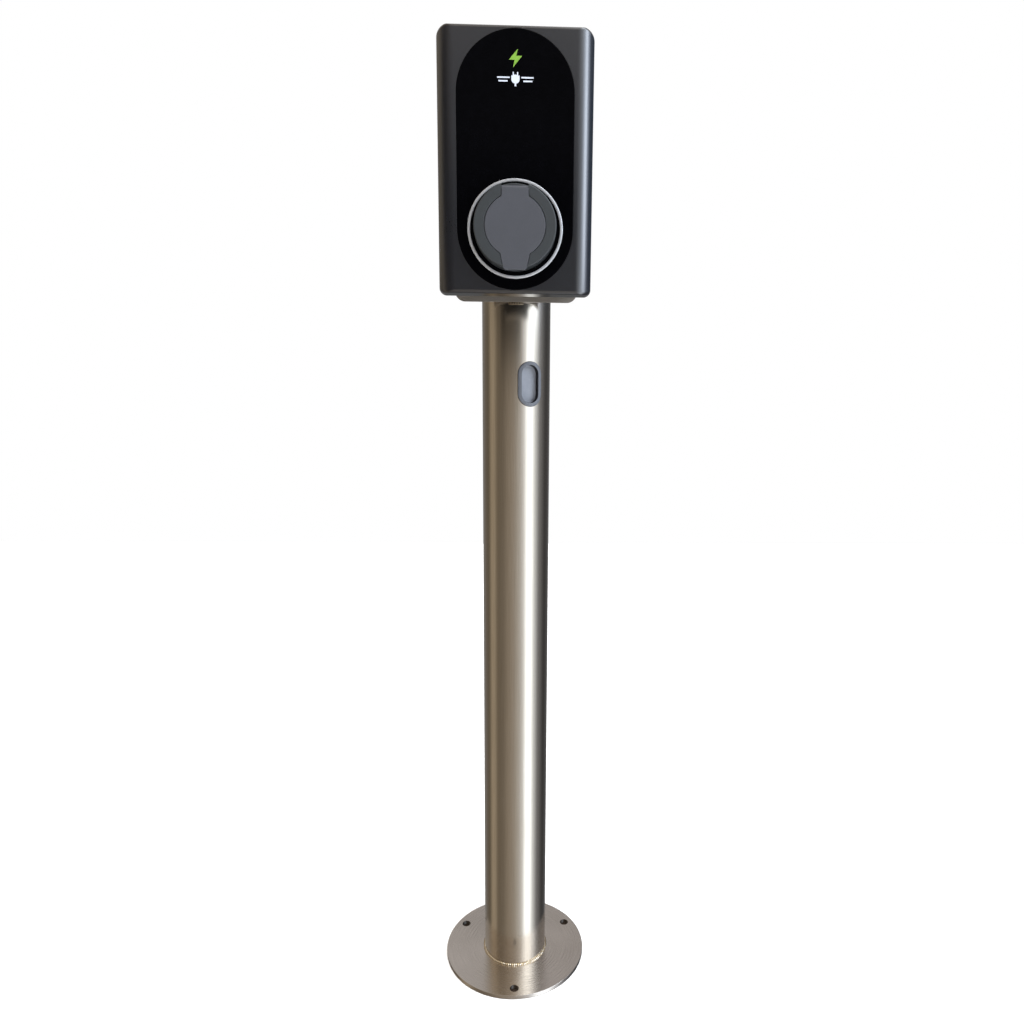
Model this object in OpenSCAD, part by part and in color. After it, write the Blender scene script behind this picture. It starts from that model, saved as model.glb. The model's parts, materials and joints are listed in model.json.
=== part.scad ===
// Charging post for electric cars: a wall charger carried on a stainless steel tube.
// The tube stands on a round base plate. The charger has a Type 2 socket with a hinged lid.
// Millimetres. X is across, -Y is the front, +Z is up. The tube axis is X0 Y0, the ground is Z0.

/* [Post] */
// Outside diameter of the upright tube
post_diameter = 101.6; // [90:0.2:122]
// Wall thickness of the tube
post_wall = 2; // [1.6:0.2:3]
// Height of the charger's lower edge above the ground
charger_bottom = 1050; // [850:5:1270]
// Height of the middle of the oval plug in the tube
plug_height = 943.5; // [200:0.5:960]
// Direction that the oval plug faces, turned from the front
plug_angle = 24; // [0:1:60]
// Width of the oval plug's rim
plug_width = 37; // [31:1:42]
// Height of the oval plug's rim
plug_length = 65; // [50:1:90]

/* [Base] */
// Diameter of the round base plate
base_diameter = 230; // [190:5:320]
// Thickness of the base plate
base_thickness = 6; // [4:1:12]
// Circle that the three anchor holes lie on
anchor_circle = 200; // [165:1:205]
// Diameter of each anchor hole
anchor_hole = 14; // [10:1:18]
// Diameter of the hole for the supply cable in the base plate
cable_hole = 60; // [40:5:80]

/* [Charger] */
// Width of the charger
charger_width = 194; // [184:1:240]
// Height of the charger
charger_height = 310; // [300:1:380]
// Depth of the charger from its back to the front face
charger_depth = 108; // [106:1:132]
// Depth of the front cover's skirt
cover_depth = 24; // [23:1:30]
// Wall thickness of the front cover
cover_wall = 3; // [2.6:0.2:3.6]
// Radius of the cover's upright front edges
side_radius = 22; // [13:1:22]
// Radius of the cover's top and bottom front edges
edge_radius = 4; // [2:0.5:5]
// Radius of the cover's corners seen from the front
corner_radius = 9; // [7:0.5:12]

/* [Fascia] */
// Width of the glossy front panel
fascia_width = 144; // [132:1:150]
// Outside diameter of the silver ring
ring_diameter = 118.6; // [114:0.2:124]
// Width of the silver ring's face
ring_width = 3.6; // [2.4:0.2:4]

/* [Socket] */
// Outside diameter of the socket housing
socket_diameter = 101.6; // [98:0.2:104]
// Distance that the socket housing stands out of the front face
socket_proud = 19.5; // [18:0.5:26]
// Height of the socket's centre above the charger's lower edge
socket_rise = 77; // [76:0.5:82]
// Diameter of the lid's round part
lid_diameter = 74.6; // [72:0.2:78]
// Width of the lid's hinge tab
hinge_tab = 33; // [24:1:36]
// Bore that the plug's collar goes into
mouth_diameter = 64; // [62:0.5:66]

/* [Hidden] */

$fn = 96;
fit = 0.05;
loose = 0.3;

// The tube and what is welded to it
post_r = post_diameter / 2;
post_in = post_r - post_wall;
charger_top = charger_bottom + charger_height;
post_top = charger_top - 20;
plate_t = 4;
bracket_t = 2.5;
bracket_depth = 5.2;
plate_y = -post_r;
bracket_y = plate_y - plate_t;
plate_w = charger_width - 22;
plate_bottom = charger_bottom + 7;
plate_top = charger_top - 34;
plate_r = 14;
weld = 3;
cap_t = 3;

// Planes of the charger, from its back to its front
case_y = bracket_y - bracket_depth;
front_y = case_y - charger_depth;
skirt_y = front_y + cover_depth;
flange_t = 4;
case_wall = 3;
case_w = charger_width - 14;
case_bottom = charger_bottom + 14;
case_top = charger_top - 14;
case_mid = (case_bottom + case_top) / 2;
case_h = case_top - case_bottom;
case_in = case_w / 2 - case_wall;
inner_y = front_y + cover_wall;
mid_z = (charger_bottom + charger_top) / 2;

// The socket, measured forward from the front face as h
socket_z = charger_bottom + socket_rise;
socket_r = socket_diameter / 2;
collar_h = -9;
gasket_t = 1;
flange_front = collar_h - gasket_t;
flange_back = flange_front - 4;
socket_flange_r = socket_r + 10.2;
mouth_r = mouth_diameter / 2;
barrel_r = mouth_r + 4;
cavity_h = -28;
barrel_h = cavity_h - 4;
lid_t = 3.5;
lid_back = socket_proud - lid_t;
floor_h = lid_back - 2;
lid_r = lid_diameter / 2;
lid_gap = 0.6;
carrier_r = mouth_r - 6;
flat_rise = mouth_r - 4.5;
carrier_flat = flat_rise - 6;
barrel_pivot_r = 3.5;
pivot_h = socket_proud - barrel_pivot_r;
pivot_rise = socket_r - 7.8;
pin_r = 1.5;
lid_tip = -socket_r - 1.2;
screw_ring = socket_r + 5.4;

// Fascia and ring
fascia_proud = 0.6;
fascia_t = 2.2;
fascia_h = charger_height - 2 * edge_radius - 1;
ring_r = ring_diameter / 2;
ring_sink = 1;
ring_proud = 2.1;

// Electrical pieces inside
board_t = 1.6;
board_y = case_y - case_wall - 15.4;
board_face = board_y - board_t;
board_w = 148;
board_bottom = socket_z + 55;
board_top = charger_top - 30;
gland_z = charger_bottom + 50;
gland_r = 16;
gland_bore = 10;
pillar_x = board_w / 2 - 8;
relay_bottom = board_bottom + 30;
sensor_y = board_face - 15;
lock_y = front_y + 22;
lock_base = socket_z + barrel_r + 1.5;
block_x = -case_in + 3;
block_z = socket_z - 28;
lead_y = case_y - case_wall - 20;
tail_y = front_y - barrel_h + 12;

contact_places = [[-14.5, 0], [0, 0], [14.5, 0], [-8, -14], [8, -14]];
signal_places = [[-7.5, 13], [7.5, 13]];
ring_angles = [45, 135, 225, 315];
cover_screw_places = [
    [-charger_width / 2 + 17, charger_bottom + 8.5], [0, charger_bottom + 8.5],
    [charger_width / 2 - 17, charger_bottom + 8.5], [-charger_width / 2 + 17, charger_top - 8.5],
    [0, charger_top - 8.5], [charger_width / 2 - 17, charger_top - 8.5]];
bracket_screw_places = [[-58, plate_bottom + 24], [58, plate_bottom + 24],
    [-58, plate_top - 24], [58, plate_top - 24]];
case_screw_heights = [case_bottom + 30, case_top - 50];
lamp_places = [-14, 0, 14];
lamp_z = charger_top - 88;

// ---------------------------------------------------------------- helpers

// Flat shape in X and Z, with thickness t, whose back lies at y
module slab(y, t) {
    translate([0, y, 0])
        rotate([90, 0, 0])
            linear_extrude(t)
                children();
}

// Round shape about the socket's axis, drawn as radius and height h in front of the face
module turned() {
    translate([0, front_y, socket_z])
        rotate([90, 0, 0])
            rotate_extrude($fn = 128)
                children();
}

// Round bar of radius r along Y between heights h0 and h1, at x and z from the socket's centre
module peg(r, h0, h1, x = 0, z = 0, n = 48) {
    translate([x, front_y - h0, socket_z + z])
        rotate([90, 0, 0])
            cylinder(r = r, h = h1 - h0, $fn = n);
}

// Round bar of radius r along Y from back y0 forward to y1
module bar_y(r, y0, y1, x, z, n = 48) {
    translate([x, y0, z])
        rotate([90, 0, 0])
            cylinder(r = r, h = y0 - y1, $fn = n);
}

// Box between two corners
module block(a, b) {
    translate(a)
        cube(b - a);
}

// Upright outline with two round ends
module stadium(w, h) {
    union() {
        translate([0, h / 2 - w / 2])
            circle(d = w, $fn = 128);
        translate([0, w / 2 - h / 2])
            circle(d = w, $fn = 128);
        square([w, h - w], center = true);
    }
}

// Rectangle with round corners
module rounded(w, h, r) {
    union() {
        square([w - 2 * r, h], center = true);
        square([w, h - 2 * r], center = true);
        for (x = [-1, 1], y = [-1, 1])
            translate([x * (w / 2 - r), y * (h / 2 - r)])
                circle(r = r);
    }
}

// Rounded frame of outer size w by h and rail width t
module rounded_frame(w, h, r, t) {
    difference() {
        rounded(w, h, r);
        rounded(w - 2 * t, h - 2 * t, r - t);
    }
}

// Pan head screw along Y with its head's back at y, pointing forward
module screw_forward(x, z, y, r, head_r, head_t, length) {
    difference() {
        union() {
            bar_y(head_r, y + head_t, y, x, z, 32);
            bar_y(r, y, y - length, x, z, 32);
        }
        bar_y(head_r * 0.5, y + head_t + 1, y + head_t * 0.4, x, z, 6);
    }
}

// Pan head screw along Y with its head's underside at y, pointing back
module screw_back(x, z, y, r, head_r, head_t, length) {
    difference() {
        union() {
            bar_y(head_r, y, y - head_t, x, z, 32);
            bar_y(r, y + length, y, x, z, 32);
        }
        bar_y(head_r * 0.5, y - head_t * 0.6, y - head_t - 1, x, z, 6);
    }
}

// Point on a smooth curve between b and c, with a before and d after
function blend_point(a, b, c, d, t) = let (m = 0.3 * (c - a), n = 0.3 * (d - b))
    b * (2 * t * t * t - 3 * t * t + 1) + m * (t * t * t - 2 * t * t + t)
    + c * (3 * t * t - 2 * t * t * t) + n * (t * t * t - t * t);

// Smooth route through a list of points, straight on its first and last stretch
function route(p, steps) = concat(
    [p[0]],
    [for (i = [1 : len(p) - 3], s = [0 : steps - 1])
        blend_point(p[i - 1], p[i], p[i + 1], p[i + 2], s / steps)],
    [p[len(p) - 2], p[len(p) - 1]]);

function unit(v) = v / norm(v);

// Direction of a route at each point
function headings(q) = [for (i = [0 : len(q) - 1])
    unit(q[min(i + 1, len(q) - 1)] - q[max(i - 1, 0)])];

// Side direction carried along a route without twist
function sides(h, i, s) = i >= len(h) ? []
    : let (n = unit(s - (s * h[i]) * h[i])) concat([n], sides(h, i + 1, n));

// Round wire of radius r along points q with n flats
module wire(q, r, n, start = [0.31, 0.22, 0.92]) {
    h = headings(q);
    s = sides(h, 0, start);
    m = len(q);
    points = [for (i = [0 : m - 1], k = [0 : n - 1])
        q[i] + r * (cos(360 * k / n) * s[i] + sin(360 * k / n) * cross(h[i], s[i]))];
    skin = [for (i = [0 : m - 2], k = [0 : n - 1])
        [i * n + k, (i + 1) * n + k, (i + 1) * n + (k + 1) % n, i * n + (k + 1) % n]];
    first = [for (k = [0 : n - 1]) k];
    last = [for (k = [0 : n - 1]) m * n - 1 - k];
    polyhedron(points = points, faces = concat(skin, [first, last]), convexity = 8);
}

// ---------------------------------------------------------------- post

// Shape of the oval plug, pointing outward along its own direction
module oval(w, h, r0, r1) {
    translate([0, 0, plug_height])
        rotate([0, 0, plug_angle])
            translate([0, -r0, 0])
                rotate([90, 0, 0])
                    linear_extrude(r1 - r0)
                        stadium(w, h);
}

module post_tube() {
    color("#a39c94")
        difference() {
            translate([0, 0, base_thickness])
                cylinder(r = post_r, h = post_top - base_thickness, $fn = 128);
            translate([0, 0, base_thickness - 1])
                cylinder(r = post_in, h = post_top - base_thickness + 2, $fn = 128);
            oval(plug_width - 7, plug_length - 7, post_in - 12, post_r + 5);
            bar_y(gland_r + 2, 0, -post_r - 5, 0, gland_z, 64);
        }
}

module base_flange() {
    color("#938a84")
        difference() {
            cylinder(d = base_diameter, h = base_thickness, $fn = 128);
            translate([0, 0, -1])
                cylinder(d = cable_hole, h = base_thickness + 2, $fn = 96);
            for (a = [270, 30, 150])
                rotate([0, 0, a])
                    translate([anchor_circle / 2, 0, -1])
                        cylinder(d = anchor_hole, h = base_thickness + 2, $fn = 48);
        }
}

module base_weld() {
    color("#c8c0b4")
        translate([0, 0, base_thickness])
            rotate_extrude($fn = 128)
                polygon([[post_r, 0], [post_r + weld, 0], [post_r + weld * 0.6, weld * 0.6],
                    [post_r, weld]]);
}

module tube_cap() {
    color("#2b2c2e")
        translate([0, 0, post_top])
            difference() {
                union() {
                    cylinder(r = post_r, h = cap_t, $fn = 128);
                    translate([0, 0, -15])
                        cylinder(r = post_in - fit, h = 15.5, $fn = 128);
                }
                translate([0, 0, -16])
                    cylinder(r = post_in - 3, h = 16, $fn = 96);
            }
}

module access_plug() {
    color("#87898f")
        difference() {
            union() {
                difference() {
                    intersection() {
                        oval(plug_width, plug_length, post_r * 0.6, post_r + 8);
                        cylinder(r = post_r + 2, h = 2 * plug_height, $fn = 128);
                    }
                    cylinder(r = post_r + 0.02, h = 2 * plug_height, $fn = 128);
                }
                intersection() {
                    oval(plug_width - 7.4, plug_length - 7.4, post_r - 11, post_r + 8);
                    cylinder(r = post_r + 1, h = 2 * plug_height, $fn = 128);
                }
            }
            oval(plug_width - 11, plug_length - 11, post_r - 8.5, post_r + 8);
        }
}

module head_plate() {
    color("#a8a39e")
        difference() {
            slab(plate_y, plate_t)
                translate([0, (plate_bottom + plate_top) / 2])
                    rounded(plate_w, plate_top - plate_bottom, plate_r);
            bar_y(gland_r + 2, plate_y + 1, bracket_y - 1, 0, gland_z, 64);
            for (p = bracket_screw_places)
                bar_y(2.5 + fit, plate_y + 1, bracket_y - 1, p[0], p[1], 32);
        }
}

module head_welds() {
    color("#bdb6ab")
        union() {
            for (z = [plate_bottom - 2.6, plate_top])
                intersection() {
                    translate([-10.5, plate_y - plate_t, z])
                        cube([21, plate_t + 3, 2.6]);
                    difference() {
                        translate([0, 0, z])
                            cylinder(r = post_r + plate_t - 0.6, h = 2.6, $fn = 96);
                        translate([0, 0, z - 1])
                            cylinder(r = post_r + 0.02, h = 4.6, $fn = 128);
                    }
                }
            for (s = [-1, 1], z = [plate_bottom + 70, plate_top - 96, plate_top - 40])
                intersection() {
                    translate([s * 16 - 6, plate_y, z])
                        cube([12, 8, 34]);
                    difference() {
                        translate([-40, plate_y, z - 1])
                            cube([80, 6, 36]);
                        translate([0, 0, z - 2])
                            cylinder(r = post_r + 0.02, h = 38, $fn = 128);
                    }
                }
        }
}

// ---------------------------------------------------------------- bracket and rear case

module wall_bracket() {
    mid = (plate_bottom + plate_top) / 2;
    rail_h = plate_top - plate_bottom - 40;
    color("#8e9092")
        difference() {
            union() {
                slab(bracket_y, bracket_t)
                    translate([0, mid])
                        rounded(150, plate_top - plate_bottom - 16, 8);
                for (x = [-40, 40])
                    slab(bracket_y - bracket_t / 2, bracket_depth - bracket_t / 2)
                        translate([x, mid])
                            square([12, rail_h], center = true);
            }
            bar_y(gland_r + 2, bracket_y + 1, case_y - 1, 0, gland_z, 64);
            for (p = bracket_screw_places)
                bar_y(2.5 + fit, bracket_y + 1, case_y - 1, p[0], p[1], 32);
            for (x = [-40, 40], z = case_screw_heights)
                bar_y(2, bracket_y + 1, case_y - 1, x, z, 32);
        }
}

module bracket_screws() {
    color("#9b9b98")
        for (p = bracket_screw_places)
            screw_back(p[0], p[1], bracket_y - bracket_t, 2.5, 4.4, 2.4, 12);
}

module rear_case() {
    flange_w = charger_width - 2 * cover_wall - 0.6;
    flange_h = charger_height - 2 * cover_wall - 0.6;
    color("#1d1e20")
        difference() {
            union() {
                slab(case_y, charger_depth - cover_depth)
                    translate([0, case_mid])
                        rounded(case_w, case_h, 12);
                slab(skirt_y, flange_t)
                    translate([0, mid_z])
                        rounded(flange_w, flange_h, corner_radius - cover_wall);
            }
            slab(case_y - case_wall, charger_depth)
                translate([0, case_mid])
                    rounded(case_w - 2 * case_wall, case_h - 2 * case_wall, 9);
            for (p = cover_screw_places)
                bar_y(2.1, skirt_y + 1, skirt_y - flange_t - 1, p[0], p[1], 32);
            bar_y(gland_r - 1 + fit, case_y + 1, case_y - case_wall - 1, 0, gland_z, 64);
            for (x = [-40, 40], z = case_screw_heights)
                bar_y(2 + fit, case_y + 1, case_y - case_wall - 1, x, z, 32);
            translate([case_in - 22, (case_y + skirt_y) / 2, case_bottom - 1])
                cylinder(r = 6 + fit, h = case_wall + 2, $fn = 48);
        }
}

module case_screws() {
    color("#9b9b98")
        for (x = [-40, 40], z = case_screw_heights)
            screw_back(x, z, case_y - case_wall, 1.98, 4, 2.6, case_wall + bracket_depth - 1);
}

// Outline of the seal and of the rib that presses on it
module seal_outline() {
    translate([0, mid_z])
        rounded_frame(charger_width - 12, charger_height - 26, 8, 3);
}

module case_seal() {
    color("#17181a")
        slab(skirt_y - flange_t, 2)
            seal_outline();
}

// ---------------------------------------------------------------- front cover and fascia

// Cover's solid outline, drawn in by d
module cover_form(d, back) {
    w = charger_width - 2 * d;
    h = charger_height - 2 * d;
    fy = front_y + d;
    r = side_radius - d;
    e = max(edge_radius - d, 0.6);
    intersection() {
        translate([0, 0, charger_bottom + d])
            linear_extrude(h)
                union() {
                    translate([-w / 2, fy + r])
                        square([w, back - fy - r]);
                    translate([-w / 2 + r, fy])
                        square([w - 2 * r, back - fy]);
                    for (s = [-1, 1])
                        translate([s * (w / 2 - r), fy + r])
                            circle(r = r);
                }
        translate([-w / 2 - 1, 0, 0])
            rotate([90, 0, 90])
                linear_extrude(w + 2)
                    union() {
                        translate([fy + e, charger_bottom + d])
                            square([back - fy - e, h]);
                        translate([fy, charger_bottom + d + e])
                            square([back - fy, h - 2 * e]);
                        for (z = [charger_bottom + d + e, charger_top - d - e])
                            translate([fy + e, z])
                                circle(r = e, $fn = 48);
                    }
        slab(back + 1, back - fy + 2)
            translate([0, mid_z])
                rounded(w, h, corner_radius - d);
    }
}

module front_cover() {
    color("#33363c")
        difference() {
            cover_form(0, skirt_y);
            difference() {
                cover_form(cover_wall, skirt_y + 1);
                slab(skirt_y - flange_t - 2, cover_depth)
                    seal_outline();
                for (p = cover_screw_places)
                    bar_y(4, skirt_y - flange_t, front_y - 1, p[0], p[1], 48);
                peg(socket_flange_r + 1, collar_h, 4, 0, 0, 96);
                for (x = [-20, 20])
                    bar_y(3.5, inner_y + 6, front_y - 1, x, lamp_z, 32);
            }
            slab(front_y + fascia_t - fascia_proud, fascia_t + 2)
                translate([0, mid_z])
                    stadium(fascia_width + 0.4, fascia_h + 0.4);
            peg(socket_r + 0.5, -cover_depth, 4, 0, 0, 96);
            for (p = cover_screw_places)
                bar_y(1.7, skirt_y, inner_y + 0.4, p[0], p[1], 32);
            for (a = ring_angles)
                peg(1.4, collar_h - 1, collar_h + 6, screw_ring * cos(a), screw_ring * sin(a), 24);
            for (x = lamp_places)
                bar_y(2.1, inner_y + 5, front_y - 1, x, lamp_z, 32);
            for (x = [-20, 20])
                bar_y(1.2, inner_y + 7, inner_y + 0.2, x, lamp_z, 24);
        }
}

module cover_screws() {
    color("#9b9b98")
        for (p = cover_screw_places)
            screw_forward(p[0], p[1], skirt_y, 1.68, 3.6, 2.2, 14);
}

module fascia_panel() {
    color("#08090a")
        difference() {
            slab(front_y + fascia_t - fascia_proud, fascia_t)
                translate([0, mid_z])
                    stadium(fascia_width, fascia_h);
            peg(socket_r + 0.5, -cover_depth, 4, 0, 0, 96);
            turned()
                translate([ring_r - ring_width - fit, fascia_proud - ring_sink])
                    square([ring_width + 2 * fit, 3]);
        }
}

module trim_ring() {
    color("#c9ccd0")
        turned()
            polygon([[ring_r - ring_width, fascia_proud - ring_sink],
                [ring_r, fascia_proud - ring_sink], [ring_r, ring_proud - 0.6],
                [ring_r - 0.7, ring_proud], [ring_r - ring_width + 0.7, ring_proud],
                [ring_r - ring_width, ring_proud - 0.6]]);
}

module fascia_bolt_mark() {
    color("#4fae3d")
        slab(front_y - fascia_proud, 0.25)
            translate([0, charger_top - 37.6])
                polygon([[3, 10.5], [-8, -2], [-1, -2], [-3, -10.5], [8, 2.5], [1, 2.5]]);
}

module fascia_plug_mark() {
    color("#e6e8ea")
        slab(front_y - fascia_proud, 0.25)
            translate([0, charger_top - 53])
                union() {
                    for (x = [-2.6, 2.6])
                        translate([x - 0.7, -5])
                            square([1.4, 5]);
                    translate([-5, -8])
                        square([10, 4]);
                    translate([0, -8])
                        circle(r = 5, $fn = 48);
                    translate([-1, -16])
                        square([2, 5]);
                    for (s = [-1, 1], k = [0, 1])
                        translate([s * (14.5 + k * 0.5) - 7.5 + k * 2, -7 - k * 4])
                            square([15 - k * 4, 1.6]);
                }
}

module indicator_board() {
    color("#1f5a3a")
        difference() {
            slab(inner_y + 6 + board_t, board_t)
                translate([0, lamp_z])
                    rounded(52, 12, 2);
            for (x = [-20, 20])
                bar_y(1.25, inner_y + 9, inner_y + 5, x, lamp_z, 24);
        }
}

module indicator_lamps() {
    color("#dfe6e2")
        for (x = lamp_places)
            bar_y(2, inner_y + 6, front_y + fascia_t - fascia_proud, x, lamp_z, 32);
}

// ---------------------------------------------------------------- socket

// Outline of the lid, drawn out by d, around the socket's centre
module lid_outline(d) {
    union() {
        circle(r = lid_r + d, $fn = 128);
        translate([-hinge_tab / 2 - d, 0])
            square([hinge_tab + 2 * d, pivot_rise]);
        polygon([[-18 - d, -lid_r + 7], [-17.6 - d, -lid_r + 1], [-14.4 - d, lid_tip + 2.5],
            [14.4 + d, lid_tip + 2.5], [17.6 + d, -lid_r + 1], [18 + d, -lid_r + 7]]);
        translate([-12 - d, lid_tip - d])
            square([24 + 2 * d, 6]);
        for (s = [-1, 1])
            translate([s * 12, lid_tip + 2.5])
                circle(r = 2.5 + d, $fn = 48);
    }
}

module socket_body() {
    pivot = pivot_rise + barrel_pivot_r;
    color("#4a4d52")
        difference() {
            union() {
                turned()
                    polygon([[0, barrel_h], [barrel_r, barrel_h], [barrel_r, flange_back],
                        [socket_flange_r, flange_back], [socket_flange_r, flange_front],
                        [socket_r, flange_front], [socket_r, socket_proud - 1.6],
                        [socket_r - 0.5, socket_proud - 0.5], [socket_r - 1.6, socket_proud],
                        [0, socket_proud]]);
                translate([-15, front_y - flange_back + 0, socket_z + mouth_r])
                    cube([30, flange_back - barrel_h, barrel_r - mouth_r + 1.5]);
            }
            turned()
                polygon([[barrel_r + 2, barrel_h - 1], [socket_r - 3.2, barrel_h - 1],
                    [socket_r - 3.2, floor_h - 5], [barrel_r + 2, floor_h - 5]]);
            slab(front_y - floor_h, lid_t + 6)
                translate([0, socket_z])
                    lid_outline(lid_gap);
            translate([-hinge_tab / 2 - lid_gap, front_y - socket_proud - 4,
                socket_z + pivot_rise - 4.2])
                cube([hinge_tab + 2 * lid_gap, 4 + 2 * barrel_pivot_r + 0.7, 30]);
            translate([-12 - lid_gap, front_y - socket_proud - 4, socket_z - socket_r - 10])
                cube([24 + 2 * lid_gap, 4 + lid_t + 2, 16]);
            translate([-hinge_tab / 2 - 5, front_y - pivot_h, socket_z + pivot_rise])
                rotate([0, 90, 0])
                    cylinder(r = pin_r + 0.02, h = hinge_tab + 10, $fn = 32);
            intersection() {
                peg(mouth_r, cavity_h, socket_proud, 0, 0, 128);
                translate([-50, front_y - socket_proud - 1, socket_z - 50])
                    cube([100, socket_proud - cavity_h + 2, 50 + flat_rise]);
            }
            for (p = contact_places)
                peg(4 + fit, barrel_h - 1, cavity_h + 1, p[0], p[1], 32);
            for (p = signal_places)
                peg(2.5 + fit, barrel_h - 1, cavity_h + 1, p[0], p[1], 32);
            translate([0, lock_y, socket_z + flat_rise - 1])
                cylinder(r = 2.6, h = 30, $fn = 32);
            for (a = ring_angles)
                peg(1.8, flange_back - 1, flange_front + 1, screw_ring * cos(a),
                    screw_ring * sin(a), 32);
        }
}

module socket_gasket() {
    color("#141516")
        difference() {
            peg(socket_flange_r, flange_front, collar_h, 0, 0, 96);
            peg(socket_r + 0.4, flange_front - 1, collar_h + 1, 0, 0, 96);
            for (a = ring_angles)
                peg(1.9, flange_front - 1, collar_h + 1, screw_ring * cos(a),
                    screw_ring * sin(a), 32);
        }
}

module socket_screws() {
    color("#9b9b98")
        for (a = ring_angles)
            screw_forward(screw_ring * cos(a), socket_z + screw_ring * sin(a),
                front_y - flange_back, 1.38, 3, 2, 9.5);
}

module contact_carrier() {
    color("#1a1b1d")
        difference() {
            intersection() {
                peg(carrier_r, cavity_h, 10, 0, 0, 128);
                translate([-50, front_y - 11, socket_z - 50])
                    cube([100, 12 - cavity_h, 50 + carrier_flat]);
            }
            for (p = contact_places)
                peg(4.6, cavity_h - 1, 11, p[0], p[1], 32);
            for (p = signal_places)
                peg(3.1, cavity_h - 1, 11, p[0], p[1], 32);
        }
}

// Metal sleeve of four spring fingers with a tail, at a place in the socket
module sleeve(p, r, bore, tail, slit) {
    difference() {
        union() {
            peg(r, barrel_h - 1, 8, p[0], p[1], 32);
            peg(tail, barrel_h - 12, barrel_h, p[0], p[1], 32);
        }
        peg(bore, cavity_h + 4, 9, p[0], p[1], 32);
        for (a = [0, 90])
            translate([p[0], 0, socket_z + p[1]])
                rotate([0, a, 0])
                    translate([-r - 1, front_y - 9, -slit / 2])
                        cube([2 * r + 2, 5 - cavity_h, slit]);
    }
}

module power_contacts() {
    color("#c9a24a")
        for (p = contact_places)
            sleeve(p, 4, 3, 2.5, 1);
}

module signal_contacts() {
    color("#c9a24a")
        for (p = signal_places)
            sleeve(p, 2.5, 1.5, 1.4, 0.5);
}

module socket_lid() {
    x0 = hinge_tab / 2;
    color("#5d6066")
        difference() {
            union() {
                slab(front_y - lid_back, lid_t)
                    translate([0, socket_z])
                        lid_outline(0);
                translate([-x0, front_y - pivot_h, socket_z + pivot_rise])
                    rotate([0, 90, 0])
                        cylinder(r = barrel_pivot_r, h = 2 * x0, $fn = 64);
            }
            translate([-x0 - 1, front_y - pivot_h, socket_z + pivot_rise])
                rotate([0, 90, 0])
                    cylinder(r = pin_r + 0.1, h = 2 * x0 + 2, $fn = 32);
            translate([-6, front_y - pivot_h, socket_z + pivot_rise])
                rotate([0, 90, 0])
                    cylinder(r = 2.7, h = 12, $fn = 32);
            peg(2.6, lid_back - 1, lid_back + 1.2, 0, 0, 32);
        }
}

module lid_seal() {
    color("#141516")
        turned()
            polygon([[mouth_r + 1.2, lid_back], [mouth_r + 1.5, floor_h + 0.3],
                [mouth_r + 3.5, floor_h + 0.3], [mouth_r + 3.8, lid_back]]);
}

module hinge_pin() {
    color("#b0aea8")
        translate([-hinge_tab / 2 - 4.5, front_y - pivot_h, socket_z + pivot_rise])
            rotate([0, 90, 0])
                cylinder(r = pin_r, h = hinge_tab + 9, $fn = 32);
}

module lid_spring() {
    turns = 8;
    q = [for (i = [0 : turns * 16])
        [-5 + 10 * i / (turns * 16),
            front_y - pivot_h + 2.15 * cos(22.5 * i),
            socket_z + pivot_rise + 2.15 * sin(22.5 * i)]];
    color("#8c8a84")
        wire(q, 0.35, 6, [1, 0, 0]);
}

module lock_actuator() {
    color("#26282b")
        difference() {
            union() {
                block([-14, lock_y - 7.5, lock_base], [14, lock_y + 17, lock_base + 24]);
                translate([0, lock_y + 6, lock_base + 23])
                    cylinder(r = 5, h = 4, $fn = 32);
            }
            translate([0, lock_y, lock_base - 1])
                cylinder(r = 2.6, h = 21, $fn = 32);
        }
}

module lock_pin() {
    color("#b0aea8")
        translate([0, lock_y, socket_z + flat_rise + 1])
            cylinder(r = 2.5, h = 17, $fn = 32);
}

// ---------------------------------------------------------------- electrical pieces

module main_board() {
    color("#1f5a3a")
        difference() {
            slab(board_y, board_t)
                translate([0, (board_bottom + board_top) / 2])
                    rounded(board_w, board_top - board_bottom, 3);
            for (x = [-pillar_x, pillar_x], z = [board_bottom + 8, board_top - 8])
                bar_y(1.6, board_y + 1, board_face - 1, x, z, 24);
        }
}

module board_pillars() {
    color("#1d1e20")
        for (x = [-pillar_x, pillar_x], z = [board_bottom + 8, board_top - 8])
            difference() {
                bar_y(4, case_y - case_wall, board_y, x, z, 32);
                bar_y(1.5 + fit, board_y + 9, board_y - 1, x, z, 24);
            }
}

module board_screws() {
    color("#9b9b98")
        for (x = [-pillar_x, pillar_x], z = [board_bottom + 8, board_top - 8])
            screw_back(x, z, board_face, 1.5, 2.8, 1.8, 9);
}

module power_relays() {
    color("#d8dadc")
        for (x = [-52, 22])
            block([x, board_face - 26, relay_bottom], [x + 30, board_face, relay_bottom + 40]);
}

module supply_module() {
    color("#2a2c30")
        block([-20, board_face - 22, board_top - 34], [34, board_face, board_top - 6]);
}

module leakage_sensor() {
    color("#30343a")
        difference() {
            block([-15, board_face - 30, board_bottom + 2], [15, board_face, board_bottom + 14]);
            translate([0, sensor_y, board_bottom])
                cylinder(r = 8, h = 20, $fn = 48);
        }
}

module capacitors() {
    color("#20242c")
        for (x = [46, 60])
            bar_y(5.5, board_face, board_face - 20, x, board_top - 26, 32);
}

module radio_module() {
    color("#b9bcc0")
        block([-56, board_face - 3, board_top - 40], [-32, board_face, board_top - 18]);
}

module board_connectors() {
    color("#dcdad2")
        union() {
            block([-61, board_face - 14, board_bottom + 3], [-25, board_face, board_bottom + 15]);
            block([26, board_face - 10, board_bottom + 3], [50, board_face, board_bottom + 12]);
        }
}

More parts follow.
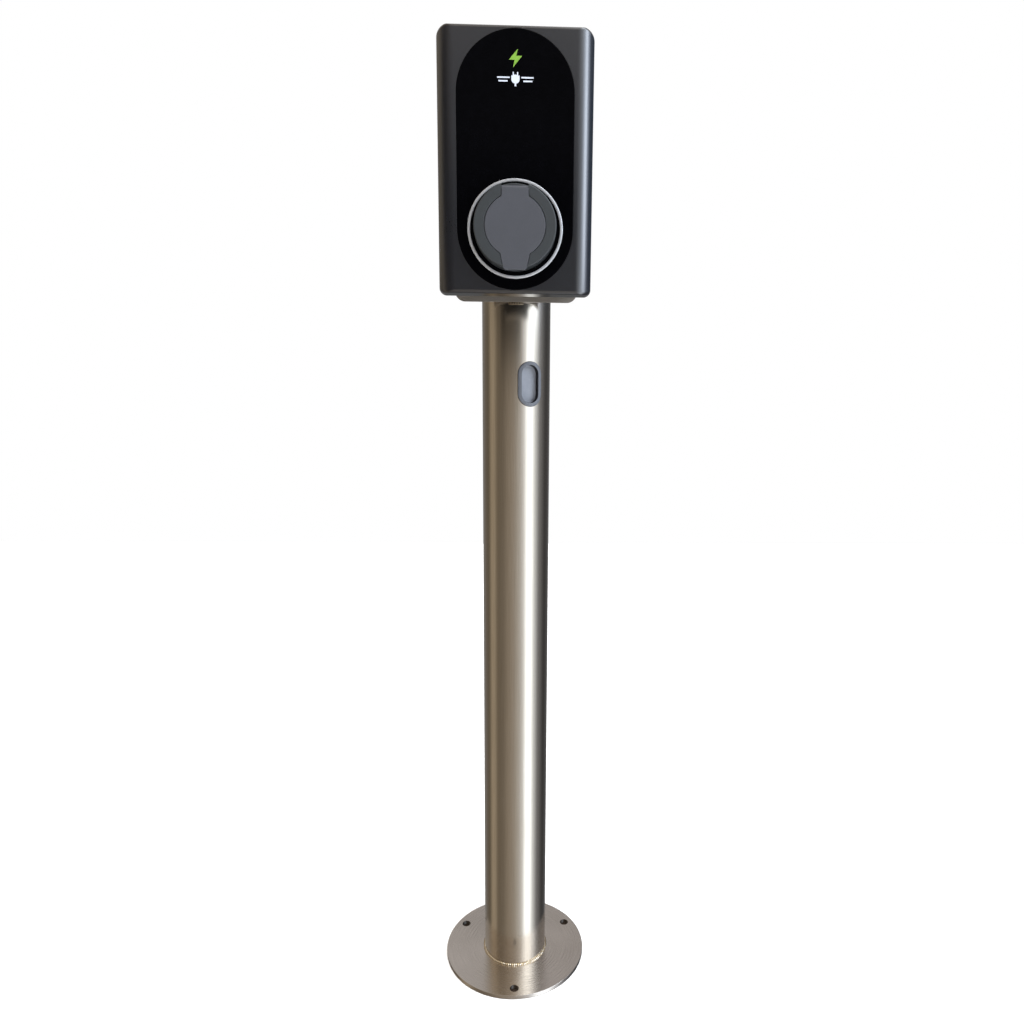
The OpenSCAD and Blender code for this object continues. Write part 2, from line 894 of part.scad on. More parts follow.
module terminal_block() {
    color("#7d8186")
        difference() {
            block([block_x, case_y - case_wall - 36, block_z],
                [block_x + 30, case_y - case_wall, block_z + 60]);
            for (k = [0 : 4])
                bar_y(3.4, case_y - case_wall - 24, case_y - case_wall - 40, block_x + 10,
                    block_z + 6 + 12 * k, 32);
            for (k = [0 : 4])
                translate([block_x + 22, case_y - case_wall - 20, block_z + 6 + 12 * k])
                    rotate([0, 90, 0])
                        cylinder(r = 2.6, h = 20, $fn = 32);
        }
}

module terminal_screws() {
    color("#b8b6b0")
        for (k = [0 : 4])
            difference() {
                bar_y(3.3, case_y - case_wall - 24, case_y - case_wall - 33, block_x + 10,
                    block_z + 6 + 12 * k, 32);
                translate([block_x + 6, case_y - case_wall - 34, block_z + 5.6 + 12 * k])
                    cube([8, 2, 0.8]);
            }
}

module cable_gland() {
    color("#2f3237")
        difference() {
            union() {
                bar_y(gland_r - 1, case_y + 4, case_y - case_wall - 14, 0, gland_z, 64);
                bar_y(gland_r + 1.4, bracket_y + 6, case_y, 0, gland_z, 6);
                bar_y(gland_r - 1.5, bracket_y + 18, bracket_y + 6, 0, gland_z, 64);
            }
            bar_y(gland_bore, bracket_y + 20, case_y - case_wall - 16, 0, gland_z, 64);
        }
}

module gland_nut() {
    color("#2f3237")
        difference() {
            bar_y(gland_r + 3.4, case_y - case_wall, case_y - case_wall - 6, 0, gland_z, 6);
            bar_y(gland_r - 1 + fit, case_y, case_y - case_wall - 8, 0, gland_z, 64);
        }
}

// Leads from the terminal block up to the board's connector
module supply_leads() {
    color("#3b2f2a")
        for (k = [0 : 3])
            wire(route([
                [block_x + 24, lead_y, block_z + 18 + 12 * k],
                [block_x + 29, lead_y, block_z + 18 + 12 * k],
                [block_x + 33 + 6 * (3 - k), lead_y, block_z + 19 + 12 * k],
                [-31 - 8 * k, board_face - 7, board_bottom - 9],
                [-31 - 8 * k, board_face - 7, board_bottom - 2],
                [-31 - 8 * k, board_face - 7, board_bottom + 3]], 5), 1.7, 8);
}

// Lead from the terminal block to the earth contact
module earth_lead() {
    color("#7f8a3a")
        wire(route([
            [block_x + 24, lead_y, block_z + 6],
            [block_x + 30, lead_y, block_z + 6],
            [block_x + 50, lead_y - 4, socket_z - 26],
            [-8, tail_y + 26, socket_z - 32],
            [0, tail_y + 14, socket_z - 16],
            [0, tail_y + 4, socket_z],
            [0, tail_y, socket_z]], 5), 1.7, 8);
}

// Leads from the relays through the leakage sensor to the power contacts
module power_leads() {
    starts = [[-33, 5], [-26, 18], [26, 18], [33, 5]];
    holes = [[-3.6, 2.2], [-2.2, -3], [2.2, -3], [3.6, 2.2]];
    ends = [contact_places[0], contact_places[3], contact_places[4], contact_places[2]];
    color("#3b2f2a")
        for (k = [0 : 3])
            wire(route([
                [starts[k][0], board_face - starts[k][1], relay_bottom],
                [starts[k][0], board_face - starts[k][1], relay_bottom - 4],
                [holes[k][0] * 1.6, sensor_y + holes[k][1], board_bottom + 18.5],
                [holes[k][0], sensor_y + holes[k][1], board_bottom + 8],
                [holes[k][0], sensor_y + holes[k][1], board_bottom - 2],
                [ends[k][0] * 1.1, sensor_y - 5, socket_z + ends[k][1] + 28],
                [ends[k][0], tail_y + 8, socket_z + ends[k][1] + 3],
                [ends[k][0], tail_y + 4, socket_z + ends[k][1]],
                [ends[k][0], tail_y, socket_z + ends[k][1]]], 5), 1.7, 8);
}

// Pilot leads from the board to the signal contacts
module signal_leads() {
    color("#8a3a34")
        for (k = [0, 1])
            wire(route([
                [34 + 8 * k, board_face - 5, board_bottom + 3],
                [34 + 8 * k, board_face - 5, board_bottom - 1],
                [22 + 9 * k, board_face - 24, socket_z + 36],
                [signal_places[k][0] + 2 + 4 * k, tail_y + 9, socket_z + 15],
                [signal_places[k][0], tail_y + 3, socket_z + 13],
                [signal_places[k][0], tail_y, socket_z + 13]], 6), 0.9, 8);
}

module lock_lead() {
    color("#26282b")
        wire(route([
            [10, lock_y + 17, lock_base + 12],
            [10, lock_y + 20, lock_base + 12],
            [24, board_face - 24, lock_base + 13],
            [29, board_face - 6, board_bottom - 6],
            [29, board_face - 5, board_bottom],
            [29, board_face - 5, board_bottom + 3]], 6), 1, 8);
}

module breather_vent() {
    color("#17181a")
        union() {
            translate([case_in - 22, (case_y + skirt_y) / 2, case_bottom - 4])
                cylinder(r = 8, h = 4, $fn = 48);
            translate([case_in - 22, (case_y + skirt_y) / 2, case_bottom - 1])
                cylinder(r = 6, h = 8, $fn = 48);
        }
}

module rating_plate() {
    color("#b9bcc0")
        block([case_w / 2, (case_y + skirt_y) / 2 - 25, case_mid + 20],
            [case_w / 2 + 0.4, (case_y + skirt_y) / 2 + 25, case_mid + 60]);
}

post_tube();
base_flange();
base_weld();
tube_cap();
access_plug();
head_plate();
head_welds();
wall_bracket();
bracket_screws();
rear_case();
case_screws();
case_seal();
front_cover();
cover_screws();
fascia_panel();
trim_ring();
fascia_bolt_mark();
fascia_plug_mark();
indicator_board();
indicator_lamps();
socket_body();
socket_gasket();
socket_screws();
contact_carrier();
power_contacts();
signal_contacts();
socket_lid();
lid_seal();
hinge_pin();
lid_spring();
lock_actuator();
lock_pin();
main_board();
board_pillars();
board_screws();
power_relays();
supply_module();
leakage_sensor();
capacitors();
radio_module();
board_connectors();
terminal_block();
terminal_screws();
cable_gland();
gland_nut();
supply_leads();
earth_lead();
power_leads();
signal_leads();
lock_lead();
breather_vent();
rating_plate();
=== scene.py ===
"""Looks of a charging post for electric cars: a wall charger carried on a brushed steel tube.

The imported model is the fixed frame. Visible parts are rebuilt as finer skins over their CAD solids,
the parts inside keep their CAD meshes, and every surface gets a finish named for its real material.
Lengths are millimetres in this file and become metres when a mesh is made. -Y is the front.
"""

import json
import logging
import math
from dataclasses import dataclass
from enum import Enum
from typing import Callable, Optional, Sequence

import bmesh
import bpy
import numpy as np
from mathutils import Matrix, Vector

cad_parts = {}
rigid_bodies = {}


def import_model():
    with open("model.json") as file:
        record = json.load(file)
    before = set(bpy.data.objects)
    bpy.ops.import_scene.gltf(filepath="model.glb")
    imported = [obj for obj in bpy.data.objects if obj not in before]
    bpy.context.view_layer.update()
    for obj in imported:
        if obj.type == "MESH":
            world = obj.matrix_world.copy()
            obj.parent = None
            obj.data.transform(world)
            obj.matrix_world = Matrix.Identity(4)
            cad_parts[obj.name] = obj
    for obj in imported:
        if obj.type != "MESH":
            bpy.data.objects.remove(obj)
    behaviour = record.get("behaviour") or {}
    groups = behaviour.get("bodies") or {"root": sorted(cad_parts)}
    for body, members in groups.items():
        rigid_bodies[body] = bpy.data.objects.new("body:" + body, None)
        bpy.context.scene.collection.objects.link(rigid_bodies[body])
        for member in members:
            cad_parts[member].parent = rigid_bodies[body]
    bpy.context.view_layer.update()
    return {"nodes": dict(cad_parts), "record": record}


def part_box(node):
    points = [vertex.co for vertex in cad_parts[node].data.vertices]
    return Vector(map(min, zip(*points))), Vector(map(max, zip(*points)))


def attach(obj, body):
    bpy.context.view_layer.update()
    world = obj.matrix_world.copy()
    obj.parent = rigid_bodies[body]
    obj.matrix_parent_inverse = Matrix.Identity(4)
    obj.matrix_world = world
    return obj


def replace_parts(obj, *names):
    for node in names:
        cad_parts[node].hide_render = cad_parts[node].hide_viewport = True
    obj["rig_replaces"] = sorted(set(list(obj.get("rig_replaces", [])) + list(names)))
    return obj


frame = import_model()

MM = 0.001
FULL_TURN = 2 * math.pi
LOG = logging.getLogger("charging_post")

Array = np.ndarray
Tree = bpy.types.NodeTree
Socket = bpy.types.NodeSocket
Piece = bpy.types.Object
Term = Socket | float | Sequence[float]
Placer = Callable[[Array, Array, Array], Array]
Face = Callable[[Array, Array], Array]


# ---------------------------------------------------------------- colour and node helpers

def linear(code: str) -> tuple[float, float, float, float]:
    """Turns an sRGB hex colour into linear RGBA.

    Args:
        code: Six hex digits with a leading hash.

    Returns:
        The colour as four linear numbers, with full alpha.
    """
    channels = [int(code[i:i + 2], 16) / 255 for i in (1, 3, 5)]
    straight = [c / 12.92 if c <= 0.04045 else ((c + 0.055) / 1.055) ** 2.4 for c in channels]
    return (*straight, 1.0)


def add_node(tree: Tree, kind: str, settings: Optional[dict] = None) -> bpy.types.Node:
    """Adds one node, sets its attributes and feeds its inputs.

    Args:
        tree: The node tree that gets the node.
        kind: The node's type name without its leading ShaderNode.
        settings: Attribute name, or name or number of an input, to its value; an input may also be
            given the socket that feeds it.

    Returns:
        The new node.
    """
    node = tree.nodes.new("ShaderNode" + kind)
    inputs = {}
    for key, value in (settings or {}).items():
        if isinstance(key, str) and hasattr(node, key):
            setattr(node, key, value)
        else:
            inputs[key] = value
    for key, value in inputs.items():
        if isinstance(value, Socket):
            tree.links.new(value, node.inputs[key])
        else:
            node.inputs[key].default_value = value
    return node


def calc(tree: Tree, operation: str, *terms: Term, vector: bool = False) -> Socket:
    """Adds one sum, on numbers or on vectors.

    Args:
        tree: The node tree that gets the sum.
        operation: The sum's name.
        terms: Its terms in order: values, or the sockets that feed it.
        vector: True for a sum on vectors.

    Returns:
        The socket that holds the result.
    """
    node = add_node(tree, "VectorMath" if vector else "Math",
                    {"operation": operation, **dict(enumerate(terms))})
    return node.outputs["Value" if operation in ("LENGTH", "DISTANCE") else 0]


def blend(tree: Tree, kind: str, share: Term, first: Term, second: Term) -> Socket:
    """Mixes two numbers, vectors or colours.

    Args:
        tree: The node tree that gets the mix.
        kind: FLOAT, VECTOR or RGBA.
        share: The second one's part, 0 to 1.
        first: The value or socket that shows at a share of 0.
        second: The value or socket that shows at a share of 1.

    Returns:
        The socket that holds the result.
    """
    low, high, out = {"FLOAT": (2, 3, 0), "VECTOR": (4, 5, 1), "RGBA": (6, 7, 2)}[kind]
    settings = {"data_type": kind, 0: share, low: first, high: second}
    return add_node(tree, "Mix", settings).outputs[out]


def ranged(tree: Tree, value: Socket, low: float, high: float, start: float = 0.0,
           end: float = 1.0, smooth: bool = False) -> Socket:
    """Carries a value from one range into another, held at both ends.

    Args:
        tree: The node tree that gets the step.
        value: The socket to carry over.
        low: Value that gives the start.
        high: Value that gives the end.
        start: Result at the low value.
        end: Result at the high value.
        smooth: True for soft shoulders at both ends.

    Returns:
        The socket that holds the result.
    """
    return add_node(tree, "MapRange", {
        "interpolation_type": "SMOOTHSTEP" if smooth else "LINEAR", "Value": value,
        "From Min": low, "From Max": high, "To Min": start, "To Max": end}).outputs[0]


def object_spot(tree: Tree) -> Socket:
    """Gives the place on the surface in metres."""
    return add_node(tree, "TexCoord").outputs["Object"]


def flattened(tree: Tree, spot: Socket) -> Socket:
    """Gives a place with its height taken away, so that its length is the distance from Z."""
    return calc(tree, "MULTIPLY", spot, (1, 1, 0), vector=True)


def fresh_tree(owner: bpy.types.Material | bpy.types.World) -> Tree:
    """Switches a material or a world to nodes and gives its empty tree."""
    owner.use_nodes = True
    owner.node_tree.nodes.clear()
    return owner.node_tree


class Grain(Enum):
    """Which way the marks of a finish run."""

    EVEN = "even"
    UPRIGHT = "upright"
    ROUND_AXIS = "round the tube's axis"
    ROUND_SOCKET = "round the socket's axis"
    ACROSS = "across"


# Radius in mm at which round grain keeps its true length.
ARC_RADIUS = 60.0
# The span of noise values that carries nearly all of the pattern.
NOISE_RANGE = (0.3, 0.7)
# The foot plate's anchor holes: radius of their circle and of one hole, in mm.
HOLE_CIRCLE, HOLE_RADIUS = 100.0, 7.0


@dataclass(frozen=True)
class Finish:
    """A surface finish that becomes one procedural material.

    Attributes:
        name: Common name of the material and its process.
        base: Main colour, sRGB hex.
        shade: Second colour that the pattern mixes in, sRGB hex.
        rough: Mean roughness.
        rough_spread: How far the pattern moves the roughness each way.
        metallic: 1 for bare metal, 0 for everything else.
        pitch: Real size in mm of the fine pattern.
        relief: Depth in mm of the fine pattern's bump.
        grain: Which way the fine pattern runs.
        stretch: How many times longer than wide a mark is.
        cloud: Size in mm of the slow change in tone.
        cloud_mix: How strongly the slow change shows, 0 to 1.
        coat: Weight of a clear top coat.
        coat_rough: Roughness of that coat.
        anisotropic: Stretch of the highlight across the grain.
        sheen: Weight of a dusty sheen.
        specular: Specular level, 0.5 for common plastics.
        painted_shade: Colour of painted shade, for the finishes that darken hollows with it, sRGB
            hex.
    """

    name: str
    base: str
    shade: str
    rough: float
    rough_spread: float = 0.05
    metallic: float = 0.0
    pitch: float = 0.8
    relief: float = 0.02
    grain: Grain = Grain.EVEN
    stretch: float = 1.0
    cloud: float = 60.0
    cloud_mix: float = 0.35
    coat: float = 0.0
    coat_rough: float = 0.05
    anisotropic: float = 0.0
    sheen: float = 0.0
    specular: float = 0.5
    # Colour of the painted shade, a dark brown.
    painted_shade: str = "#2a2018"

    def place(self, tree: Tree) -> Socket:
        """Gives the coordinates that the fine pattern follows, in mm.

        Upright and across grain stretch the plain coordinates. Round grain uses radius, arc length
        at a fixed radius and height, so that its marks follow circles.

        Args:
            tree: The material's node tree.

        Returns:
            The socket that holds the coordinates.
        """
        spot, scale = object_spot(tree), 1.0 / MM
        stretched = {Grain.EVEN: (1, 1, 1), Grain.UPRIGHT: (1, 1, 1 / self.stretch),
                     Grain.ACROSS: (1 / self.stretch, 1, 1)}
        if self.grain in stretched:
            sizes = [scale * size for size in stretched[self.grain]]
            return add_node(tree, "Mapping", {"Scale": sizes, "Vector": spot}).outputs[0]
        x, y, z = add_node(tree, "SeparateXYZ", {0: spot}).outputs
        side, up, along, centre = (x, z, y, SOCKET_Z * MM)
        if self.grain is Grain.ROUND_AXIS:
            side, up, along, centre = (x, y, z, 0.0)
        lowered = calc(tree, "SUBTRACT", up, centre)
        turn = calc(tree, "ARCTAN2", lowered, side)
        flat = add_node(tree, "CombineXYZ", {0: side, 1: lowered}).outputs[0]
        radius = calc(tree, "LENGTH", flat, vector=True)
        return add_node(tree, "CombineXYZ", {
            0: calc(tree, "MULTIPLY", radius, scale),
            1: calc(tree, "MULTIPLY", turn, ARC_RADIUS / self.stretch),
            2: calc(tree, "MULTIPLY", along, scale)}).outputs[0]

    def relief_socket(self, tree: Tree, where: Socket) -> Socket:
        """Gives the height of the fine pattern, 0 to 1: fractal noise at the pattern's pitch.

        Args:
            tree: The material's node tree.
            where: Coordinates in mm.

        Returns:
            The socket that holds the height.
        """
        return add_node(tree, "TexNoise", {"Scale": 1.0 / self.pitch, "Detail": 3.0,
                                           "Roughness": 0.55, "Vector": where}).outputs[0]

    def painted_shade_socket(self, tree: Tree, spot: Socket) -> Optional[Socket]:
        """Gives where painted shade darkens the colour, 0 to 1, or None for a finish without it.

        Args:
            tree: The material's node tree.
            spot: Plain coordinates in metres.

        Returns:
            The socket that holds the painted shade's strength, or None.
        """
        return None

    def material(self) -> bpy.types.Material:
        """Builds the material: two-scale tone, roughness and bump from the same pattern.

        Returns:
            The new material.
        """
        made = bpy.data.materials.new(self.name)
        tree = fresh_tree(made)
        height = self.relief_socket(tree, self.place(tree))
        spot = object_spot(tree)
        slow = add_node(tree, "TexNoise", {"Scale": 1.0 / (self.cloud * MM), "Detail": 2.0,
                                           "Roughness": 0.5, "Vector": spot}).outputs[0]
        both = blend(tree, "FLOAT", self.cloud_mix, height, slow)
        tone = blend(tree, "RGBA", ranged(tree, both, *NOISE_RANGE), linear(self.base),
                     linear(self.shade))
        bump = add_node(tree, "Bump", {"Strength": 1.0, "Distance": self.relief * MM,
                                       "Height": height}).outputs[0]
        looks = {"Base Color": tone, "Normal": bump, "Metallic": self.metallic,
                 "Roughness": ranged(tree, both, *NOISE_RANGE, self.rough - self.rough_spread,
                                     self.rough + self.rough_spread),
                 "Coat Weight": self.coat, "Coat Roughness": self.coat_rough,
                 "Sheen Weight": self.sheen, "Anisotropic": self.anisotropic,
                 "Specular IOR Level": self.specular}
        # Painted shade: where the mask is set, the colour goes toward the shade colour and the metal
        # is dulled.
        painted_shade = self.painted_shade_socket(tree, spot)
        if painted_shade is not None:
            looks["Base Color"] = blend(tree, "RGBA", painted_shade, tone, linear(self.painted_shade))
            looks["Metallic"] = add_node(tree, "Math", {"operation": "SUBTRACT", "use_clamp": True,
                                                        0: self.metallic, 1: painted_shade}).outputs[0]
        if self.anisotropic:
            looks["Tangent"] = self.brush_direction(tree)
        shader = add_node(tree, "BsdfPrincipled", looks)
        add_node(tree, "OutputMaterial", {0: shader.outputs[0]})
        return made

    def brush_direction(self, tree: Tree) -> Socket:
        """Gives the direction of the brush marks: round the post's axis, the cross of Z and place.

        Args:
            tree: The material's node tree.

        Returns:
            The socket that holds the direction.
        """
        around = calc(tree, "CROSS_PRODUCT", (0, 0, 1), object_spot(tree), vector=True)
        return calc(tree, "NORMALIZE", around, vector=True)


@dataclass(frozen=True)
class PebbledPlastic(Finish):
    """Plastic moulded in an etched tool, whose face is a field of tiny rounded pebbles."""

    def relief_socket(self, tree: Tree, where: Socket) -> Socket:
        """Gives smooth cell heights at the pitch of the etched pebbles.

        Args:
            tree: The material's node tree.
            where: Coordinates in mm.

        Returns:
            The socket that holds the height.
        """
        cells = add_node(tree, "TexVoronoi", {"feature": "SMOOTH_F1", "Scale": 1.0 / self.pitch,
                                              "Vector": where})
        return calc(tree, "SUBTRACT", 1.0, cells.outputs["Distance"])


@dataclass(frozen=True)
class CircuitBoard(Finish):
    """Fibreglass board under green solder mask, with raised copper tracks showing through.

    Attributes:
        tracks: Rise and fall of the tracks from a cell's middle outward.
    """

    tracks: float = 9.0

    def relief_socket(self, tree: Tree, where: Socket) -> Socket:
        """Gives bands of tracks: high along the edges of stepped square cells.

        Args:
            tree: The material's node tree.
            where: Coordinates in mm.

        Returns:
            The socket that holds the height.
        """
        cells = add_node(tree, "TexVoronoi", {"distance": "CHEBYCHEV", "Scale": 1.0 / self.pitch,
                                              "Randomness": 0.6, "Vector": where})
        tracks = calc(tree, "MULTIPLY", cells.outputs["Distance"], self.tracks)
        return calc(tree, "PINGPONG", tracks, 1.0)


@dataclass(frozen=True)
class WeldBead(Finish):
    """Bright steel weld metal laid as overlapping ripples, with a straw and blue heat tint."""

    def relief_socket(self, tree: Tree, where: Socket) -> Socket:
        """Gives ripples across the bead at the welder's step, with a little wander.

        Args:
            tree: The material's node tree.
            where: Coordinates in mm.

        Returns:
            The socket that holds the height.
        """
        waves = add_node(tree, "TexWave", {
            "wave_type": "BANDS", "bands_direction": "X", "Scale": 0.3 / self.pitch,
            "Distortion": 2.5, "Detail": 2.0, "Vector": where})
        return waves.outputs[1]


@dataclass(frozen=True)
class ShadedHolePlate(Finish):
    """Satin plate whose anchor holes have painted shade, dark brown, on their walls.

    Attributes:
        hole_circle: Radius in mm of the circle that the holes' middles lie on.
        hole_radius: Radius in mm of a hole.
        depth: How far in mm the painted shade goes beyond a hole's wall.
    """

    hole_circle: float = HOLE_CIRCLE
    hole_radius: float = HOLE_RADIUS
    depth: float = 0.12

    def painted_shade_socket(self, tree: Tree, spot: Socket) -> Optional[Socket]:
        """Gives 1 nearer a hole's middle than its wall's radius and a hair, and 0 elsewhere.

        Three holes stand a third of a turn apart, the first at 30 degrees, so the turn is folded
        into the sector of one hole and the distance is taken from that hole's middle.

        Args:
            tree: The material's node tree.
            spot: Plain coordinates in metres.

        Returns:
            The socket that holds the painted shade's strength.
        """
        x, y, _ = add_node(tree, "SeparateXYZ", {0: spot}).outputs
        past = calc(tree, "SUBTRACT", calc(tree, "ARCTAN2", y, x), math.radians(30))
        folded = calc(tree, "PINGPONG", past, math.radians(60))
        radius = calc(tree, "LENGTH", flattened(tree, spot), vector=True)
        sides = [calc(tree, "MULTIPLY", calc(tree, way, folded), radius)
                 for way in ("COSINE", "SINE")]
        spoke = add_node(tree, "CombineXYZ", dict(enumerate(sides))).outputs[0]
        off = calc(tree, "DISTANCE", spoke, (self.hole_circle * MM, 0, 0), vector=True)
        return calc(tree, "LESS_THAN", off, (self.hole_radius + self.depth) * MM)

    def brush_direction(self, tree: Tree) -> Socket:
        """Gives the way the highlight is drawn out: away from the axis, across the round marks.

        Args:
            tree: The material's node tree.

        Returns:
            The socket that holds the direction.
        """
        return calc(tree, "NORMALIZE", flattened(tree, object_spot(tree)), vector=True)


@dataclass(frozen=True)
class DishedPlug(Finish):
    """Grey polyamide plug with painted shade: walls dark in full, rim part way, floor plain.

    Attributes:
        floor_reach: Distance from the tube's axis, in mm, that the dish's floor stays within.
        wall_reach: Distance from the tube's axis, in mm, where the walls end and the rim begins.
        rim_spared: How much of the walls' darkening the rim is spared, 0 to 1.
    """

    floor_reach: float = 44.4
    wall_reach: float = 52.3
    rim_spared: float = 0.45

    def painted_shade_socket(self, tree: Tree, spot: Socket) -> Optional[Socket]:
        """Gives painted shade by distance from the axis: 0 on the floor, 1 on the walls, half on the
        rim.

        Args:
            tree: The material's node tree.
            spot: Plain coordinates in metres.

        Returns:
            The socket that holds the painted shade's strength.
        """
        far = calc(tree, "LENGTH", flattened(tree, spot), vector=True)
        wall, rim = [calc(tree, "GREATER_THAN", far, reach * MM)
                     for reach in (self.floor_reach, self.wall_reach)]
        return calc(tree, "SUBTRACT", wall, calc(tree, "MULTIPLY", rim, self.rim_spared))


# ---------------------------------------------------------------- the finishes

SLOT_FINISH: dict[str, Finish] = {
    # Stainless tube, belt-brushed: a soft mirror with tall bands and hair-fine upright lines.
    "post_steel": Finish("brushed_stainless_tube", "#c9c3ba", "#bdb6ab", 0.2, 0.03, 1.0,
        pitch=0.9, relief=0.0025, grain=Grain.UPRIGHT, stretch=60.0, cloud=220.0, cloud_mix=0.3,
        anisotropic=0.35),
    # Laser-cut stainless plate with a satin face: the tube's bands show in it as a soft fan.
    # The walls of its anchor holes carry painted shade, dark brown.
    "plate_steel": ShadedHolePlate("satin_stainless_plate", "#cac4be", "#bab4ae", 0.26, 0.05, 1.0,
        pitch=1.0, relief=0.002, grain=Grain.ROUND_AXIS, stretch=30.0, cloud=70.0, cloud_mix=0.4,
        anisotropic=0.5),
    # Bright weld metal: thin, shiny and rippled.
    "weld_steel": WeldBead("ground_weld_bead", "#efe9de", "#c9b28a", 0.26, 0.08, 1.0, pitch=2.2,
        relief=0.12, cloud=18.0, cloud_mix=0.4),
    # Zinc-plated steel: pale, a little blue and patchy.
    "zinc_steel": Finish("zinc_plated_steel", "#b9bcbf", "#8f948f", 0.38, 0.1, 1.0, pitch=2.4,
        relief=0.01, cloud=14.0, cloud_mix=0.6),
    # Turned bright steel of the small pins.
    "bright_steel": Finish("turned_bright_steel", "#d3d4d6", "#b3b4b8", 0.2, 0.05, 1.0, pitch=0.3,
        relief=0.004, cloud=8.0),
    # Satin silver ring, moulded and metal-coated: an even pale line.
    "ring_silver": Finish("satin_silver_coating", "#d0d2d6", "#bec1c6", 0.34, 0.04, 0.5,
        pitch=0.5, relief=0.003, grain=Grain.ROUND_SOCKET, stretch=20.0, cloud=30.0),
    # Cover sprayed in satin anthracite: cool dark grey with a silky sheen and fine orange peel.
    "cover_grey": Finish("satin_anthracite_paint", "#13161d", "#10131a", 0.3, 0.03, pitch=1.6,
        relief=0.008, cloud=90.0, cloud_mix=0.5, coat=0.8, coat_rough=0.13, specular=1.0),
    # Back-painted acrylic window: deep black under a mirror-like face.
    "fascia_gloss": Finish("gloss_black_acrylic", "#030304", "#050507", 0.05, 0.01, pitch=9.0,
        relief=0.002, cloud=120.0, specular=0.06),
    # Socket housing: charcoal glass-filled plastic with a fine even etch.
    "socket_grey": PebbledPlastic("etched_charcoal_plastic", "#373b3e", "#313538", 0.42, 0.05,
        pitch=0.45, relief=0.02, cloud=25.0),
    # Lid: the same plastic, one step lighter.
    "lid_grey": PebbledPlastic("etched_slate_plastic", "#4c4e55", "#44464c", 0.42, 0.05,
        pitch=0.45, relief=0.02, cloud=25.0),
    # Rear case: black ABS with a coarse pebble, matt.
    "case_plastic": PebbledPlastic("pebbled_black_abs", "#141517", "#1d1e21", 0.6, 0.07,
        pitch=0.9, relief=0.05, cloud=50.0, specular=0.15),
    # Push-in plug of the tube: mid grey polyamide, smooth with a faint bloom.
    # Its walls carry painted shade, near black; its rim is darkened part way.
    "grey_plug": DishedPlug("moulded_grey_polyamide", "#8f949e", "#7c818b", 0.42, 0.06, pitch=0.9,
        relief=0.015, cloud=12.0, painted_shade="#14161a"),
    # Tube cap and other black mouldings.
    "black_plastic": PebbledPlastic("moulded_black_polyethylene", "#202123", "#292a2c", 0.48,
        0.06, pitch=0.7, relief=0.03, cloud=30.0),
    # Rubber seals: dead matt, with a faint grey bloom.
    "black_rubber": Finish("black_nitrile_rubber", "#131314", "#1f1f21", 0.75, 0.08, pitch=0.6,
        relief=0.02, cloud=12.0, sheen=0.15),
    # Prints on the fascia: flat opaque ink with a slight grain.
    "mark_green": Finish("screen_print_green", "#86b545", "#78a53c", 0.35, 0.05, pitch=0.35,
        relief=0.005, cloud=6.0),
    "mark_white": Finish("screen_print_white", "#dfe6f2", "#cdd6e6", 0.35, 0.05, pitch=0.35,
        relief=0.005, cloud=6.0),
    # Silver-plated copper contacts: warm white metal with brush marks along them.
    "contact_metal": Finish("silver_plated_copper", "#d9d3c6", "#c1a87e", 0.25, 0.08, 1.0,
        pitch=0.5, relief=0.006, cloud=9.0, cloud_mix=0.6),
    "board_green": CircuitBoard("green_solder_mask", "#1c5a38", "#2c7a4c", 0.32, 0.06, pitch=14.0,
        relief=0.04, cloud=40.0, cloud_mix=0.2, coat=0.3),
    "lamp_clear": Finish("clear_lamp_epoxy", "#dfe3e4", "#b9c2c6", 0.15, 0.05, pitch=1.2,
        relief=0.01, cloud=4.0, coat=0.5),
    "relay_white": PebbledPlastic("moulded_white_polyester", "#d8d8d2", "#c8c8c0", 0.42, 0.06,
        pitch=0.7, relief=0.02, cloud=22.0),
    "module_black": PebbledPlastic("potted_black_module", "#1b1c1e", "#2a2b2e", 0.4, 0.08,
        pitch=1.1, relief=0.03, cloud=16.0),
    "can_tin": Finish("tinned_can", "#b8bcc2", "#8d939b", 0.28, 0.08, 1.0, pitch=1.4, relief=0.01,
        cloud=10.0),
    "terminal_grey": PebbledPlastic("moulded_grey_polyamide_block", "#83878b", "#74787c", 0.45,
        0.06, pitch=0.8, relief=0.02, cloud=18.0),
    "gland_grey": PebbledPlastic("moulded_light_grey_gland", "#8b8f92", "#7b7f82", 0.45, 0.05,
        pitch=0.8, relief=0.02, cloud=14.0),
    "lead_brown": Finish("brown_wire_insulation", "#5a3522", "#4a2b1c", 0.38, 0.05, pitch=1.0,
        relief=0.02, cloud=20.0),
    "lead_green": Finish("green_wire_insulation", "#3f7d3a", "#c3b53a", 0.38, 0.05, pitch=5.0,
        relief=0.01, cloud=30.0, cloud_mix=0.1),
    "lead_red": Finish("red_wire_insulation", "#9b2f2a", "#852622", 0.38, 0.05, pitch=1.0,
        relief=0.02, cloud=20.0),
    "lead_black": Finish("black_wire_insulation", "#1a1a1b", "#262627", 0.4, 0.05, pitch=1.0,
        relief=0.02, cloud=20.0),
}
# Nodes whose finish is not the common one of their slot.
NODE_FINISH: dict[str, Finish] = {
    # Sheet steel of the head, satin, with a slightly duller face.
    "head_plate": Finish("satin_stainless_sheet", "#b9b3ab", "#a6a099", 0.42, 0.06, 0.8,
        pitch=0.8, relief=0.004, grain=Grain.ACROSS, stretch=30.0, cloud=50.0),
    "rating_plate": Finish("silver_label_film", "#b4b7ba", "#a3a6a9", 0.34, 0.05, 0.6, pitch=0.6,
        relief=0.004, cloud=20.0),
    "contact_carrier": SLOT_FINISH["module_black"],
}
_made: dict[str, bpy.types.Material] = {}


